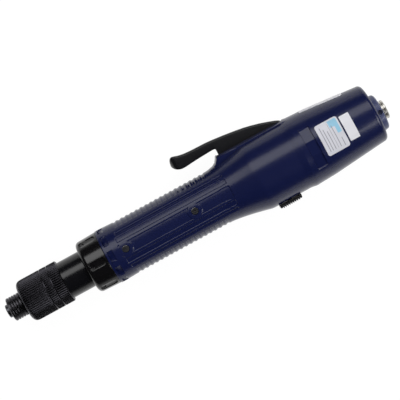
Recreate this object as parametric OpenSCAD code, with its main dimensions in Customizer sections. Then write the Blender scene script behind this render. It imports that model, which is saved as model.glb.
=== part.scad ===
// Inline electric torque screwdriver with a start lever, lying on its side.
// X runs along the tool from the mouth of the bit socket to the connector,
// +Y is the lever's side and +Z the side with the grip screws. Millimetres.

/* [Bit socket and collar] */
// Width across flats of the hexagonal bit socket
hex_af = 6.35; // [6:0.05:6.6]
// Depth of the hexagonal bit socket
hex_depth = 20; // [16:0.5:22]
// Radius of the output spindle
spindle_r = 4.4; // [4.3:0.05:4.6]
// Length of spindle that shows in front of the bit collar
spindle_nose = 2.2; // [1.5:0.1:4]
// Radius of the bit collar
collar_r = 7.8; // [7.4:0.1:8.2]
// Length of the bit collar
collar_len = 9.1; // [9:0.1:10]
// Finger grooves turned in the bit collar
collar_grooves = 5; // [3:1:5]
// Travel of the bit collar when it is drawn back
collar_travel = 3; // [2:0.1:3.2]
// Gap between the bit collar and the torque sleeve
collar_gap = 0.7; // [0.4:0.1:2]

/* [Torque adjustment] */
// Radius over the knurl of the torque sleeve
sleeve_r = 14; // [13.9:0.1:15]
// Length of the torque sleeve
sleeve_len = 29.3; // [28.5:0.1:31]
// Number of ridges round the torque sleeve
knurl_count = 60; // [36:1:72]
// Height of the ridges of the knurl
knurl_h = 0.45; // [0.2:0.05:0.5]
// Travel of the torque sleeve from the lowest to the highest setting
torque_travel = 8; // [4:0.5:8]
// Radius of the smooth clutch tube behind the sleeve
tube_r = 12.3; // [12.1:0.05:12.4]
// Length of the clutch tube that shows behind the sleeve at the lowest setting
tube_show = 15.7; // [14:0.1:18]

/* [Front nut] */
// Length of the front nut
nut_len = 14.8; // [14.4:0.1:17]
// Radius of the front nut at its back edge
nut_r = 17.9; // [17.7:0.05:18.3]
// Fall in radius from the back edge to the front of the nut
nut_taper = 0.4; // [0:0.1:0.6]
// Radius of the nut's rounded front edge
nut_round = 3; // [1:0.25:3.5]
// Spanner pockets round the nut
nut_pockets = 4; // [2:1:6]

/* [Grip] */
// Radius of the grip
grip_r = 17.85; // [17.7:0.05:18.4]
// Length of the windowed ring in front of the grip
ring_len = 12.2; // [11:0.1:15]
// Radius of the windowed ring
ring_r = 18.2; // [18.1:0.05:18.8]
// Windows round the ring
window_count = 10; // [6:2:10]
// Length of the grip from the ring to the start of the swell
grip_len = 67; // [66:0.5:80]
// Spacing of the ribs across the top and bottom of the grip
rib_pitch = 3.49; // [3:0.01:5]
// Depth of the grooves between the ribs
rib_depth = 0.5; // [0.2:0.05:0.8]
// Half angle of the ribbed bands
rib_angle = 35; // [25:1:38]
// Depth of the long side panels
panel_depth = 0.45; // [0.2:0.05:0.8]
// Width of the raised strips between the side panels
strip_w = 1.5; // [1:0.1:2.5]

/* [Rear body] */
// Length over which the grip swells into the rear body
swell_len = 27; // [22:0.5:34]
// Radius of the rear body under the lever
body_r = 22.95; // [22.5:0.05:23.5]
// Length of the rear body under the lever
body_len = 31.3; // [31:0.1:36]
// Radius of the rear body at its shoulder
shoulder_r = 23.6; // [23.5:0.05:24]
// Length of the taper from the shoulder to the rear face
tail_len = 53.5; // [50:0.5:60]
// Radius of the rear body in front of its rounded rim
tail_r = 19.45; // [18.5:0.05:20.5]
// Radius of the rounded rim at the rear face
rim_round = 2.8; // [1:0.1:3.5]
// Thickness of the shells' walls
wall = 2.4; // [1.8:0.1:2.6]
// Height above the axis of the boss that holds the lever
boss_r = 23.9; // [23.6:0.05:24.4]
// Half angle of the boss that holds the lever
boss_angle = 22; // [21:0.5:28]

/* [Lever] */
// Width of the lever
lever_w = 10; // [8:0.1:10.4]
// Reach of the lever from its pin to its tip
lever_reach = 70.3; // [66:0.5:76]
// Height of the lever's top above the pin, over the swell of the grip
lever_rise = 14; // [13:0.1:16]
// Press of the lever in degrees
lever_press = 5; // [2:0.5:5]
// Radius of the lever's pin
pin_r = 1.5; // [1:0.1:1.6]
// Height of the lever's pin above the axis
pin_y = 19.8; // [19.5:0.1:20]

/* [Direction knob] */
// Length of the direction knob
knob_len = 15.4; // [12:0.1:18]
// Height of the direction knob above the housing
knob_h = 2.9; // [2:0.1:4]
// Half angle that the knob covers round the housing
knob_angle = 12; // [9:0.5:16]
// Ridges across the direction knob
knob_ridges = 9; // [5:1:11]
// Travel of the knob each way from the middle
knob_travel = 3; // [1.5:0.25:3.25]

/* [Rear cap and connector] */
// Radius of the rear cap
cap_r = 12.3; // [11.8:0.1:13]
// Length of the rear cap behind the housing
cap_len = 4.1; // [4:0.1:6]
// Distance of the cap's centre below the tool's axis
cap_drop = 1.6; // [0:0.1:3]
// Radius of the two suspension holes in the cap
hang_r = 1.6; // [1:0.05:1.7]
// Radius of the connector's ring
plug_r = 6.3; // [6:0.05:6.6]
// Length of connector that shows behind the cap
plug_len = 3.3; // [2.6:0.1:5]
// Contacts in the connector
contact_count = 5; // [3:1:6]

/* [Gearbox] */
// Module of the gears
gear_m = 0.5; // [0.49:0.01:0.51]
// Face width of the planet gears
gear_w = 9.4; // [8:0.1:9.4]
// Radius of the pins that carry the planet gears
planet_pin_r = 1.3; // [1:0.05:1.5]
// Balls between the two clutch plates
clutch_balls_n = 6; // [4:1:8]
// Radius of the clutch balls
clutch_ball_r = 1.5; // [1.3:0.05:1.6]

/* [Motor] */
// Length of the motor's stator stack
stack_len = 33; // [26:0.5:34]
// Radius of the motor's rotor
rotor_r = 7.2; // [6.5:0.05:7.3]
// Radius of the motor's shaft
shaft_r = 2.5; // [2.2:0.05:2.6]
// Slots in the stator
slot_count = 6; // [6:3:9]

/* [Electronics] */
// Width of the control board
board_w = 33; // [30:0.5:33]
// Thickness of the control board
board_t = 1.6; // [1:0.1:2]
// Length of the control board
board_len = 84; // [76:0.5:86]

/* [Fits] */
// Radial clearance of a shaft or sleeve that turns or slides
run_fit = 0.08; // [0.05:0.01:0.1]
// Clearance round a piece that is pressed or trapped in place
seat_fit = 0.05; // [0.02:0.01:0.08]
// Gap beside a face that moves past another
slip_gap = 0.3; // [0.2:0.05:0.4]

/* [Hidden] */
$fn = 48;
eps = 0.01;

// Stations along the axis, each worked out from the one before
collar_x = spindle_nose;
sleeve_x = collar_x + collar_len + collar_gap;
sleeve_end = sleeve_x + sleeve_len;
nut_x = sleeve_end + tube_show;
house_x = nut_x + nut_len;
grip_x = house_x + ring_len;
swell_x = grip_x + grip_len;
body_x = swell_x + swell_len;
shoulder_x = body_x + body_len;
house_end = shoulder_x + tail_len;
cap_end = house_end + cap_len;
plug_end = cap_end + plug_len;

// Clutch tube and what it holds
lip_t = 2;
flange_t = 3;
gear_x = nut_x + lip_t + flange_t;
tube_slim_r = 10.2;
tube_bore_r = 7.6;
clutch_bore_r = 9.6;
tube_front = sleeve_x + torque_travel + 2.5;
bearing_w = 4;
bearing_x = tube_front + 0.5;
shelf_t = 1.2;
ring_t = 3;
thrust_x = bearing_x + bearing_w + shelf_t + slip_gap;
thrust_end = thrust_x + ring_t;
lug_r = tube_slim_r + 1.6;
lug_w = 3.6;
lug_count = 3;
tube_step_x = thrust_end + 5.5;
sleeve_front_t = 2;
sleeve_bore_r = collar_r + 0.6;
flange_r = 14.9;

// Clutch plates, planet carrier and gears
clutch_plate_t = 3;
ball_seat = 0.9;
carrier_t = 5;
carrier_r = 10.4;
carrier_x = gear_x - 2;
carrier_end = carrier_x + carrier_t;
plate_gap = 2 * (clutch_ball_r - ball_seat);
clutch_plate_x = carrier_x - plate_gap - clutch_plate_t;
clutch_plate_r = 9.2;
clutch_trip = 1;
ball_pcd_r = 6.9;
spindle_tail_r = 3.5;
key_half = 3.6;
sun_teeth = 12;
planet_teeth = 18;
planet_count = 3;
ring_teeth = sun_teeth + 2 * planet_teeth;
planet_orbit = gear_m * (sun_teeth + planet_teeth) / 2;
gears_x = carrier_end + slip_gap;
gears_end = gears_x + gear_w;
ring_end = gears_end + slip_gap + 4.5;
spring_turns = 6;
spring_wire = 1.8;
spring_r = 6.3;

// Motor
mount_x = gears_end + slip_gap;
mount_end = ring_end + 8.5;
motor_bore_r = 15.2;
can_r = motor_bore_r - 0.1;
can_wall = 0.75;
coil_over = 3;
stack_x = mount_end + coil_over + 1;
stack_end = stack_x + stack_len;
hall_x = stack_end + coil_over + 0.4;
hall_t = 1.4;
back_x = hall_x + hall_t + 1.2;
back_end = back_x + 7.6;
journal_r = 1.5;
front_bearing_r = 5.5;
back_bearing_r = 4.5;
tooth_w = 3.4;
tooth_root_r = 11.8;
shoe_r = 8.6;
coil_t = 1.5;
air_gap = 0.4;
lead_r = 0.9;
lead_orbit = 9.5;
supply_lead_r = 0.6;

// Grip screws, on both sides over the two motor mounts
screw_xs = [mount_end - 2.9, back_x + 2.9];
screw_head_r = 2;
screw_head_h = 1.3;
screw_r = 1.2;
screw_reach = 4;
screw_boss_r = 4.7;

// Lever, switch and board
lever_x = shoulder_x - 5.3;
boss_x = swell_x + 11;
slot_x = boss_x + 0.4;
slot_end = lever_x + 5.2;
slot_half = lever_w / 2 + 0.4;
pin_half = boss_r * sin(boss_angle) - 0.8;
spring_slot = 2.1;
knuckle_r = 3.9;
board_y = -2;
board_x = swell_x + 17;
board_end = board_x + board_len;
board_top = board_y + board_t / 2;
board_under = board_y - board_t / 2;
rail_w = 5;
rail_xs = [board_x + 4, board_end - 9];
switch_x = lever_x - 16.5;
switch_len = 12;
switch_top = 7.5;
plunger_r = 1.1;
plunger_top = switch_top + 2.7;
finger_w = 4;
finger_y = plunger_top + slip_gap;
knob_x = body_x + 11.9;
knob_floor = body_r + slip_gap;
stem_len = 3.2;
stem_w = 6;
selector_len = 16;
selector_h = 7;

// Rear cap and connector
neck_r = 10.4;
rear_wall = 2.4;
insert_r = 5.2;
socket_r = plug_r - 0.9;
contact_pcd_r = 3.55;
contact_r = 0.5;
insert_x = house_end - 2.8;
insert_end = house_end + 1.7;

// ---------------------------------------------------------------- helpers

// A profile of [x, radius] points turned round the X axis, all the way or
// through an angle that is centred on +Y
module turned(points, angle = 360) {
    rotate([0, 90, 0])
        rotate([0, 0, angle < 360 ? 90 - angle / 2 : 0])
            rotate_extrude(angle = angle)
                polygon([for (p = points) [p[1], p[0]]]);
}

// A straight rod along X, from one station to another
module rod(x0, x1, r) {
    translate([x0, 0, 0]) rotate([0, 90, 0]) cylinder(h = x1 - x0, r = r);
}

// A ring along X with a bore
module ring(x0, x1, r, bore) {
    turned([[x0, bore], [x0, r], [x1, r], [x1, bore]]);
}

// A flat outline in Y and Z carried along X
module prism(x0, x1) {
    translate([x0, 0, 0]) rotate([90, 0, 90]) linear_extrude(x1 - x0) children();
}

// A flat outline in X and Y carried along Z, both ways from the middle
module slab(half) {
    translate([0, 0, -half]) linear_extrude(2 * half) children();
}

// A slot outline along X with round ends
module slot2d(x0, x1, w) {
    translate([x0 + w / 2, -w / 2]) square([x1 - x0 - w, w]);
    for (x = [x0 + w / 2, x1 - w / 2]) translate([x, 0]) circle(d = w);
}

// An arc of points about [cx, cr], from angle a0 to a1, as [x, radius]
function arc(cx, cr, r, a0, a1, n) =
    [for (i = [0 : n]) let (a = a0 + (a1 - a0) * i / n) [cx + r * cos(a), cr + r * sin(a)]];

// Corners of one gear tooth about the angle a: root, pitch and tip on each side
function tooth(rp, root, tip, half_root, half_pitch, half_tip, a) = [
    [root * cos(a - half_root), root * sin(a - half_root)],
    [rp * cos(a - half_pitch), rp * sin(a - half_pitch)],
    [tip * cos(a - half_tip), tip * sin(a - half_tip)],
    [tip * cos(a + half_tip), tip * sin(a + half_tip)],
    [rp * cos(a + half_pitch), rp * sin(a + half_pitch)],
    [root * cos(a + half_root), root * sin(a + half_root)]
];

backlash = 0.1;

// Outline of a toothed wheel, with its first tooth towards the angle turn
module gear2d(teeth, turn = 0) {
    rp = gear_m * teeth / 2;
    tip = rp + 0.85 * gear_m;
    root = rp - 1.2 * gear_m;
    half = (PI * gear_m / 2 - backlash) / 2;
    slope = tan(20);
    half_pitch = half / rp * 180 / PI;
    half_tip = (half - 0.85 * gear_m * slope * 1.15) / tip * 180 / PI;
    half_root = min(170 / teeth, (half + 0.5 * gear_m * slope) / root * 180 / PI);
    polygon([for (i = [0 : teeth - 1])
        each tooth(rp, root, tip, half_root, half_pitch, half_tip, turn + 360 * i / teeth)]);
}

// Outline of the space inside an internal gear, whose spaces are wheel teeth
module gear_space2d(teeth, turn = 0) {
    rp = gear_m * teeth / 2;
    tip = rp + 1.2 * gear_m;
    root = rp - 0.85 * gear_m;
    half = (PI * gear_m / 2 + backlash) / 2;
    slope = tan(20);
    half_pitch = half / rp * 180 / PI;
    half_tip = (half - 1.2 * gear_m * slope * 0.9) / tip * 180 / PI;
    half_root = (half + 0.85 * gear_m * slope) / root * 180 / PI;
    polygon([for (i = [0 : teeth - 1])
        each tooth(rp, root, tip, half_root, half_pitch, half_tip, turn + 360 * i / teeth)]);
}

// A round bar swept through a list of rings; every ring is a list of points
module skin(rings) {
    n = len(rings[0]);
    m = len(rings);
    points = [for (r = rings) each r];
    sides = [for (i = [0 : m - 2], j = [0 : n - 1]) let (k = (j + 1) % n)
        [i * n + j, i * n + k, (i + 1) * n + k, (i + 1) * n + j]];
    caps = [[for (j = [n - 1 : -1 : 0]) j], [for (j = [0 : n - 1]) (m - 1) * n + j]];
    polyhedron(points, concat(sides, caps), convexity = 8);
}

// A coil of round wire about the X axis with closed end turns
module coil_x(x0, x1, r, wire, turns) {
    sides = 8;
    per_turn = 16;
    steps = turns * per_turn;
    rise = x1 - x0 - wire;
    skin([for (i = [0 : steps]) let (t = i / steps, a = 360 * turns * t,
            x = x0 + wire / 2 + rise * min(1, max(0, (t - 0.5 / turns) / (1 - 1 / turns))))
        [for (j = [0 : sides - 1]) let (b = 360 * j / sides, rr = r + wire / 2 * cos(b))
            [x + wire / 2 * sin(b), rr * cos(a), rr * sin(a)]]]);
}

// A wire that runs straight along X from p to the station bend_x, and on in a
// smooth S to q, where it arrives along X
module lead(p, bend_x, q, r) {
    sides = 6;
    steps = 8;
    centres = concat([p], [for (i = [0 : steps]) let (t = i / steps, s = t * t * (3 - 2 * t))
        [bend_x + (q[0] - bend_x) * t, p[1] + (q[1] - p[1]) * s, p[2] + (q[2] - p[2]) * s]]);
    skin([for (c = centres)
        [for (j = [0 : sides - 1]) let (b = -360 * j / sides)
            [c[0], c[1] + r * cos(b), c[2] + r * sin(b)]]]);
}

// A ball bearing: two rings and the balls between them
module ball_bearing(x0, w, bore, r, balls) {
    mid = (bore + r) / 2;
    ball = (r - bore) * 0.27;
    race = ball * 0.62;
    ring(x0, x0 + w, mid - race, bore);
    ring(x0, x0 + w, r, mid + race);
    for (i = [0 : balls - 1])
        rotate([360 * i / balls, 0, 0])
            translate([x0 + w / 2, mid, 0]) sphere(r = race - 0.03, $fn = 24);
}

// ---------------------------------------------------------------- housing

// Radius of the swell at a share t of its length
function swell_at(t) = grip_r + (body_r - grip_r) * pow(t, 1.35);

// The shells' outer profile behind the front ring, drawn in by d
function body_profile(d) = concat(
    [[grip_x, grip_r - d], [swell_x, grip_r - d]],
    [for (i = [1 : 8]) [swell_x + swell_len * i / 8, swell_at(i / 8) - d]],
    [[shoulder_x - 3.8, body_r - d], [shoulder_x - 1, shoulder_r - 0.2 - d]],
    [[shoulder_x + 0.4, shoulder_r - d], [shoulder_x + 3, shoulder_r - 0.35 - d]],
    [[shoulder_x + 14, shoulder_r - 0.7 - d], [house_end - rim_round, tail_r - d]]);

// The two shells as one closed turned form, with the boss for the lever
module shell_form() {
    neck_front = gear_x;
    neck_out = nut_r - 1.7;
    turned(concat(
        [[neck_front, 0], [neck_front, neck_out], [house_x, neck_out]],
        [[house_x, ring_r - 0.4], [house_x + 0.4, ring_r], [house_x + 3.4, ring_r]],
        [[grip_x - 4, grip_r + 0.15]],
        body_profile(0),
        arc(house_end - rim_round, tail_r - rim_round, rim_round, 67.5, 0, 3),
        [[house_end, 0]]));
    turned([
        [boss_x - 9.5, grip_r - 1], [boss_x - 9.5, grip_r + 0.05], [boss_x - 5, grip_r + 1],
        [boss_x - 3, grip_r + 2.2], [boss_x - 1.8, grip_r + 3.8], [boss_x - 0.6, boss_r - 0.4],
        [boss_x + 0.2, boss_r], [lever_x + 4.5, boss_r], [shoulder_x + 1.4, boss_r - 0.3],
        [shoulder_x + 3.6, shoulder_r - 0.9], [shoulder_x + 3.6, grip_r - 1]], 2 * boss_angle);
}

// What stays solid inside the shells: pivot bosses and rails for the board
module shell_inner_bosses() {
    for (s = [-1, 1]) {
        translate([lever_x, pin_y, s > 0 ? slot_half : -slot_half - 5])
            cylinder(h = 5, r = 3.6);
        for (x = rail_xs)
            difference() {
                translate([x, board_y - 3.5, s > 0 ? board_w / 2 - 1.5 : -board_w / 2 - 6.5])
                    cube([rail_w, 7, 8]);
                translate([x - 1, board_under - seat_fit, s > 0 ? 0 : -board_w / 2 - 0.1])
                    cube([rail_w + 2, board_t + 2 * seat_fit, board_w / 2 + 0.1]);
            }
    }
}

// The hollow inside the shells
module shell_hollow() {
    difference() {
        turned(concat(
            [[gear_x - 1, 0], [gear_x - 1, flange_r + 0.1], [ring_end + 0.1, flange_r + 0.1]],
            [[ring_end + 0.1, motor_bore_r], [swell_x - 6, motor_bore_r]],
            [for (i = [1 : 8]) [swell_x + swell_len * i / 8, swell_at(i / 8) - wall]],
            [[shoulder_x - 2, body_r - wall], [shoulder_x + 14, shoulder_r - 0.8 - wall]],
            [[house_end - rear_wall, tail_r - wall], [house_end - rear_wall, 0]]));
        shell_inner_bosses();
    }
}

// Grooves that leave the cross ribs of the grip, for the band round +Y
module rib_grooves() {
    n = floor(grip_len / rib_pitch);
    floor_r = grip_r - rib_depth;
    crest_r = grip_r + 0.1;
    out_r = grip_r + 3;
    turned(concat(
        [[grip_x + 0.1, out_r], [grip_x + 0.1, crest_r]],
        [for (i = [0 : n - 1]) let (x = grip_x + (i + 0.5) * rib_pitch)
            each [[x - 0.34 * rib_pitch, crest_r], [x - 0.14 * rib_pitch, floor_r],
                [x + 0.14 * rib_pitch, floor_r], [x + 0.34 * rib_pitch, crest_r]]],
        [[grip_x + n * rib_pitch, crest_r], [grip_x + n * rib_pitch, out_r]]), 2 * rib_angle);
}

// Long recessed panels of one side, between thin raised strips
module side_panels() {
    start = grip_x - 2.7;
    end = swell_x + 9;
    edges = [0, 16, 32, 47];
    difference() {
        slab_up(grip_r - 8, grip_r + 6) {
            slot2d(start, end, 2 * (grip_r * sin(edges[1]) - strip_w / 2));
            for (s = [-1, 1], i = [1, 2]) {
                low = grip_r * sin(edges[i]) + strip_w / 2;
                high = grip_r * sin(edges[i + 1]) - strip_w / 2;
                translate([0, s * (low + high) / 2])
                    slot2d(start + 0.8 * i, end - 0.5 * i, high - low);
            }
        }
        turned(concat([[grip_x - 9, 0], [grip_x - 9, grip_r - panel_depth]],
            body_profile(panel_depth), [[house_end - rim_round, 0]]));
        for (x = screw_xs)
            translate([x, 0, 0]) cylinder(h = grip_r + 7, r = screw_boss_r);
    }
}

// A flat outline carried along Z between two heights
module slab_up(z0, z1) {
    translate([0, 0, z0]) linear_extrude(z1 - z0) children();
}

// Holes for the grip screws of one side
module grip_screw_holes() {
    for (x = screw_xs)
        translate([x, 0, 0]) {
            translate([0, 0, motor_bore_r - 1]) cylinder(h = 5, r = screw_r + seat_fit);
            translate([0, 0, grip_r - screw_head_h - 0.1])
                cylinder(h = 5, r = screw_head_r + 0.15);
        }
}

// Windows in the front ring, with floors that ramp outwards to the back
module ring_windows() {
    x0 = house_x + 1.2;
    x1 = x0 + 4.1;
    for (i = [0 : window_count - 1])
        rotate([90 + 360 * i / window_count, 0, 0])
            turned([[x0, ring_r - 1.5], [x1, ring_r - 0.4], [x1, ring_r + 2], [x0, ring_r + 2]], 24);
}

// Openings through the shells for the lever, the knob and the rear cap
module shell_openings() {
    translate([slot_x, grip_r - 6, -slot_half])
        cube([slot_end - slot_x, boss_r - grip_r + 10, 2 * slot_half]);
    slot = stem_len + 2 * knob_travel + 2 * slip_gap;
    translate([knob_x - slot / 2, -body_r - 3, -stem_w / 2 - slip_gap])
        cube([slot, wall + 8, stem_w + 2 * slip_gap]);
    translate([0, -cap_drop, 0]) rod(house_end - rear_wall - 1, house_end + 1, neck_r + seat_fit);
    translate([lever_x, pin_y, -pin_half - seat_fit])
        cylinder(h = 2 * (pin_half + seat_fit), r = pin_r + seat_fit);
}

// Shallow pocket across the visible side, with a floor of three facets
module side_pocket() {
    x = shoulder_x + 4.3;
    prism(x, x + 6.9)
        polygon([[13, 30], [13, shoulder_r - 5.1], [4, shoulder_r - 1.8], [-5, shoulder_r - 1.8],
            [-14.5, shoulder_r - 6.4], [-14.5, 30]]);
}

// One half of the housing, the one that lies on +Z
module half_shell(pocket) {
    difference() {
        shell_form();
        shell_hollow();
        rib_grooves();
        mirror([0, 1, 0]) rib_grooves();
        side_panels();
        grip_screw_holes();
        ring_windows();
        shell_openings();
        if (pocket) side_pocket();
        translate([gear_x - 5, -40, -60]) cube([house_end, 80, 60]);
    }
}

module left_shell() {
    color("#181b3b") half_shell(true);
}

module right_shell() {
    color("#181b3b") mirror([0, 0, 1]) half_shell(false);
}

module grip_screws() {
    head_z = grip_r - screw_head_h;
    color("#1b1b1e")
        for (side = [0, 180], x = screw_xs)
            rotate([side, 0, 0]) translate([x, 0, 0])
                difference() {
                    union() {
                        translate([0, 0, motor_bore_r - screw_reach])
                            cylinder(h = head_z - motor_bore_r + screw_reach + eps, r = screw_r);
                        translate([0, 0, head_z]) cylinder(h = screw_head_h, r = screw_head_r);
                    }
                    for (a = [0, 90])
                        rotate([0, 0, a]) translate([-1.3, -0.25, grip_r - 0.8])
                            cube([2.6, 0.5, 2]);
                }
}

module front_nut() {
    neck_out = nut_r - 1.7;
    front_r = nut_r - nut_taper;
    color("#17171b")
        difference() {
            turned(concat(
                [[nut_x, tube_r + seat_fit]],
                arc(nut_x + nut_round, front_r - nut_round, nut_round, 180, 90, 5),
                [[house_x - 0.4, nut_r], [house_x - 0.05, nut_r - 0.35]],
                [[house_x - 0.05, neck_out + seat_fit], [gear_x - 0.02, neck_out + seat_fit]],
                [[gear_x - 0.02, flange_r + seat_fit], [nut_x + lip_t, flange_r + seat_fit]],
                [[nut_x + lip_t, tube_r + seat_fit]]));
            for (i = [0 : nut_pockets - 1])
                rotate([360 * i / nut_pockets, 0, 0]) {
                    difference() {
                        slab_up(nut_r - 4, nut_r + 4) slot2d(nut_x + 2.4, house_x - 1.3, 5.8);
                        rod(nut_x, house_x, nut_r - 1);
                    }
                    translate([nut_x + 4.4, 0, nut_r - 1.9]) cylinder(h = 4, r = 1.25);
                }
        }
}

module rear_cap() {
    color("#3a4262")
        translate([0, -cap_drop, 0])
            difference() {
                union() {
                    turned([[house_end + 0.02, 0], [house_end + 0.02, cap_r],
                        [cap_end - 0.8, cap_r - 0.6], [cap_end, cap_r - 1.5], [cap_end, 0]]);
                    rod(house_end - rear_wall - 0.5, house_end + 1, neck_r);
                    rod(house_end - rear_wall - 2.4, house_end - rear_wall - 0.05, neck_r + 1.8);
                }
                rod(house_end - 8, cap_end + 1, plug_r + seat_fit);
                for (side = [0, 180])
                    rotate([side, 0, 0]) {
                        translate([house_end + 2.1, 0, cap_r - 4.4]) cylinder(h = 8, r = hang_r);
                        translate([house_end, -8, cap_r - 1]) cube([cap_len + 1, 16, 5]);
                    }
            }
}

// ---------------------------------------------------------------- bit end

module spindle() {
    color("#8d8f94")
        difference() {
            union() {
                turned([[0, 0], [0, spindle_r - 0.4], [0.4, spindle_r],
                    [carrier_x - 2, spindle_r], [carrier_x - 2, 0]]);
                rod(sleeve_x + 1.6, sleeve_x + 3, 5.9);
                rod(carrier_x - 3, carrier_end - 0.2, spindle_tail_r);
            }
            translate([-1, 0, 0]) rotate([90, 0, 90])
                linear_extrude(hex_depth + 1)
                    rotate(30) circle(r = hex_af / sqrt(3), $fn = 6);
            for (s = [-1, 1]) {
                translate([clutch_plate_x - 3, s > 0 ? key_half : -key_half - 5, -6])
                    cube([clutch_plate_t + plate_gap + 3 - eps, 5, 12]);
                translate([collar_x + 3.3, 0, 0]) rotate([-90 * s, 0, 0])
                    cylinder(h = 8, r = 1.05);
            }
            turned([[collar_x + 0.65, spindle_r - 0.35], [collar_x + 0.65, spindle_r + 1],
                [collar_x + 1.35, spindle_r + 1], [collar_x + 1.35, spindle_r - 0.35]]);
        }
}

module bit_balls() {
    color("silver")
        for (s = [-1, 1])
            translate([collar_x + 3.3, s * 3.35, 0]) sphere(r = 1, $fn = 24);
}

module collar_ring() {
    color("#5b5c60")
        difference() {
            ring(collar_x + 0.7, collar_x + 1.3, spindle_r + 0.75, spindle_r - 0.3);
            translate([collar_x, -1.2, 0]) cube([2, 2.4, 10]);
        }
}

module bit_collar() {
    groove_pitch = (collar_len - 0.6) / collar_grooves;
    groove = 0.55;
    end = collar_x + collar_len;
    color("#1d1d20")
        turned(concat(
            [[collar_x, spindle_r + 0.9], [collar_x, collar_r - 0.7], [collar_x + 0.6, collar_r]],
            [for (i = [0 : collar_grooves - 2])
                let (x = collar_x + 0.3 + (i + 1) * groove_pitch)
                each [[x - 0.45, collar_r], [x - 0.2, collar_r - groove],
                    [x + 0.2, collar_r - groove], [x + 0.45, collar_r]]],
            [[end - 0.4, collar_r], [end, collar_r - 0.4], [end, 6.2], [collar_x + 4.9, 6.2]],
            [[collar_x + 4.9, spindle_r + run_fit], [collar_x + 1.45, spindle_r + run_fit]],
            [[collar_x + 1.45, spindle_r + 0.9]]));
}

module collar_spring() {
    color("#9a9ca0")
        coil_x(collar_x + 5, sleeve_x + 1.5, 5.3, 0.7, 4);
}

// ---------------------------------------------------------------- torque sleeve

// One knurled band of the sleeve, as a solid disc
module knurl_band(x0, x1) {
    prism(x0, x1)
        polygon([for (i = [0 : 2 * knurl_count - 1])
            let (r = sleeve_r - (i % 2) * knurl_h, a = 180 * i / knurl_count)
            [r * cos(a), r * sin(a)]]);
}

module torque_sleeve() {
    core_r = sleeve_r - knurl_h - 0.1;
    band_1 = sleeve_end - 12;
    band_2 = sleeve_end - 7;
    land_end = thrust_x - 0.02;
    color("#1e1e22")
        difference() {
            union() {
                turned(concat(
                    [[sleeve_x, 0], [sleeve_x, sleeve_r - 3.6]],
                    arc(sleeve_x + 3.6, sleeve_r - 3.6, 3.6, 165, 105, 3),
                    [[sleeve_x + 4, core_r], [sleeve_end - 0.6, core_r]],
                    [[sleeve_end, core_r - 0.5], [sleeve_end, 0]]));
                knurl_band(sleeve_x + 4, band_1 - 0.6);
                knurl_band(band_1 + 0.6, band_2 - 0.6);
                knurl_band(band_2 + 0.6, sleeve_end - 1);
            }
            turned([[sleeve_x - 1, 0], [sleeve_x - 1, sleeve_bore_r],
                [sleeve_x + sleeve_front_t, sleeve_bore_r],
                [sleeve_x + sleeve_front_t, tube_slim_r + run_fit],
                [land_end, tube_slim_r + run_fit], [land_end, tube_r + run_fit],
                [sleeve_end + 1, tube_r + run_fit], [sleeve_end + 1, 0]]);
        }
}

module thrust_ring() {
    color("#8a8c90")
        difference() {
            union() {
                rod(thrust_x, thrust_end, tube_bore_r - 0.2);
                for (i = [0 : lug_count - 1])
                    rotate([360 * i / lug_count, 0, 0])
                        translate([thrust_x, 0, -lug_w / 2]) cube([ring_t, lug_r, lug_w]);
            }
            rod(thrust_x - 1, thrust_end + 1, spindle_r + 0.4);
        }
}

module clutch_tube() {
    flange_x = nut_x + lip_t;
    color("#15151a")
        difference() {
            turned([
                [tube_front, tube_bore_r + seat_fit], [tube_front, tube_slim_r - 0.5],
                [tube_front + 0.5, tube_slim_r], [tube_step_x, tube_slim_r],
                [tube_step_x, tube_r], [flange_x, tube_r], [flange_x, flange_r],
                [gear_x - 0.02, flange_r], [gear_x - 0.02, carrier_r + 0.6],
                [carrier_x - slip_gap, carrier_r + 0.6], [carrier_x - slip_gap, clutch_bore_r],
                [clutch_plate_x - clutch_trip - 2, clutch_bore_r],
                [clutch_plate_x - clutch_trip - 2, tube_bore_r],
                [bearing_x + bearing_w + shelf_t, tube_bore_r],
                [bearing_x + bearing_w + shelf_t, tube_bore_r - 1.4],
                [bearing_x + bearing_w + 0.02, tube_bore_r - 1.4],
                [bearing_x + bearing_w + 0.02, tube_bore_r + seat_fit]]);
            for (i = [0 : lug_count - 1])
                rotate([360 * i / lug_count, 0, 0])
                    translate([thrust_x - slip_gap + eps, 5, -lug_w / 2 - slip_gap])
                        cube([ring_t + torque_travel + 2 * slip_gap, 10, lug_w + 2 * slip_gap]);
        }
}

module spindle_bearing() {
    color("#b9bbc0")
        ball_bearing(bearing_x, bearing_w, spindle_r + run_fit, tube_bore_r, 8);
}

module clutch_spring() {
    color("#8f9196")
        coil_x(thrust_end + 0.1, clutch_plate_x - 0.1, spring_r - 0.15, spring_wire, spring_turns);
}

// ---------------------------------------------------------------- clutch and gears

// The seats of the clutch balls, cut from a plate
module ball_seats(x) {
    for (i = [0 : clutch_balls_n - 1])
        rotate([360 * i / clutch_balls_n, 0, 0])
            translate([x, ball_pcd_r, 0]) sphere(r = clutch_ball_r + seat_fit, $fn = 32);
}

module clutch_plate() {
    color("#77797e")
        difference() {
            rod(clutch_plate_x, clutch_plate_x + clutch_plate_t, clutch_plate_r);
            difference() {
                rod(clutch_plate_x - 1, clutch_plate_x + clutch_plate_t + 1, spindle_r + run_fit);
                for (s = [-1, 1])
                    translate([clutch_plate_x - 2, s > 0 ? key_half + run_fit : -key_half - run_fit - 4, -6])
                        cube([clutch_plate_t + 4, 4, 12]);
            }
            ball_seats(carrier_x - plate_gap / 2);
        }
}

module clutch_balls() {
    color("silver")
        for (i = [0 : clutch_balls_n - 1])
            rotate([360 * i / clutch_balls_n, 0, 0])
                translate([carrier_x - plate_gap / 2, ball_pcd_r, 0])
                    sphere(r = clutch_ball_r, $fn = 24);
}

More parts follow.
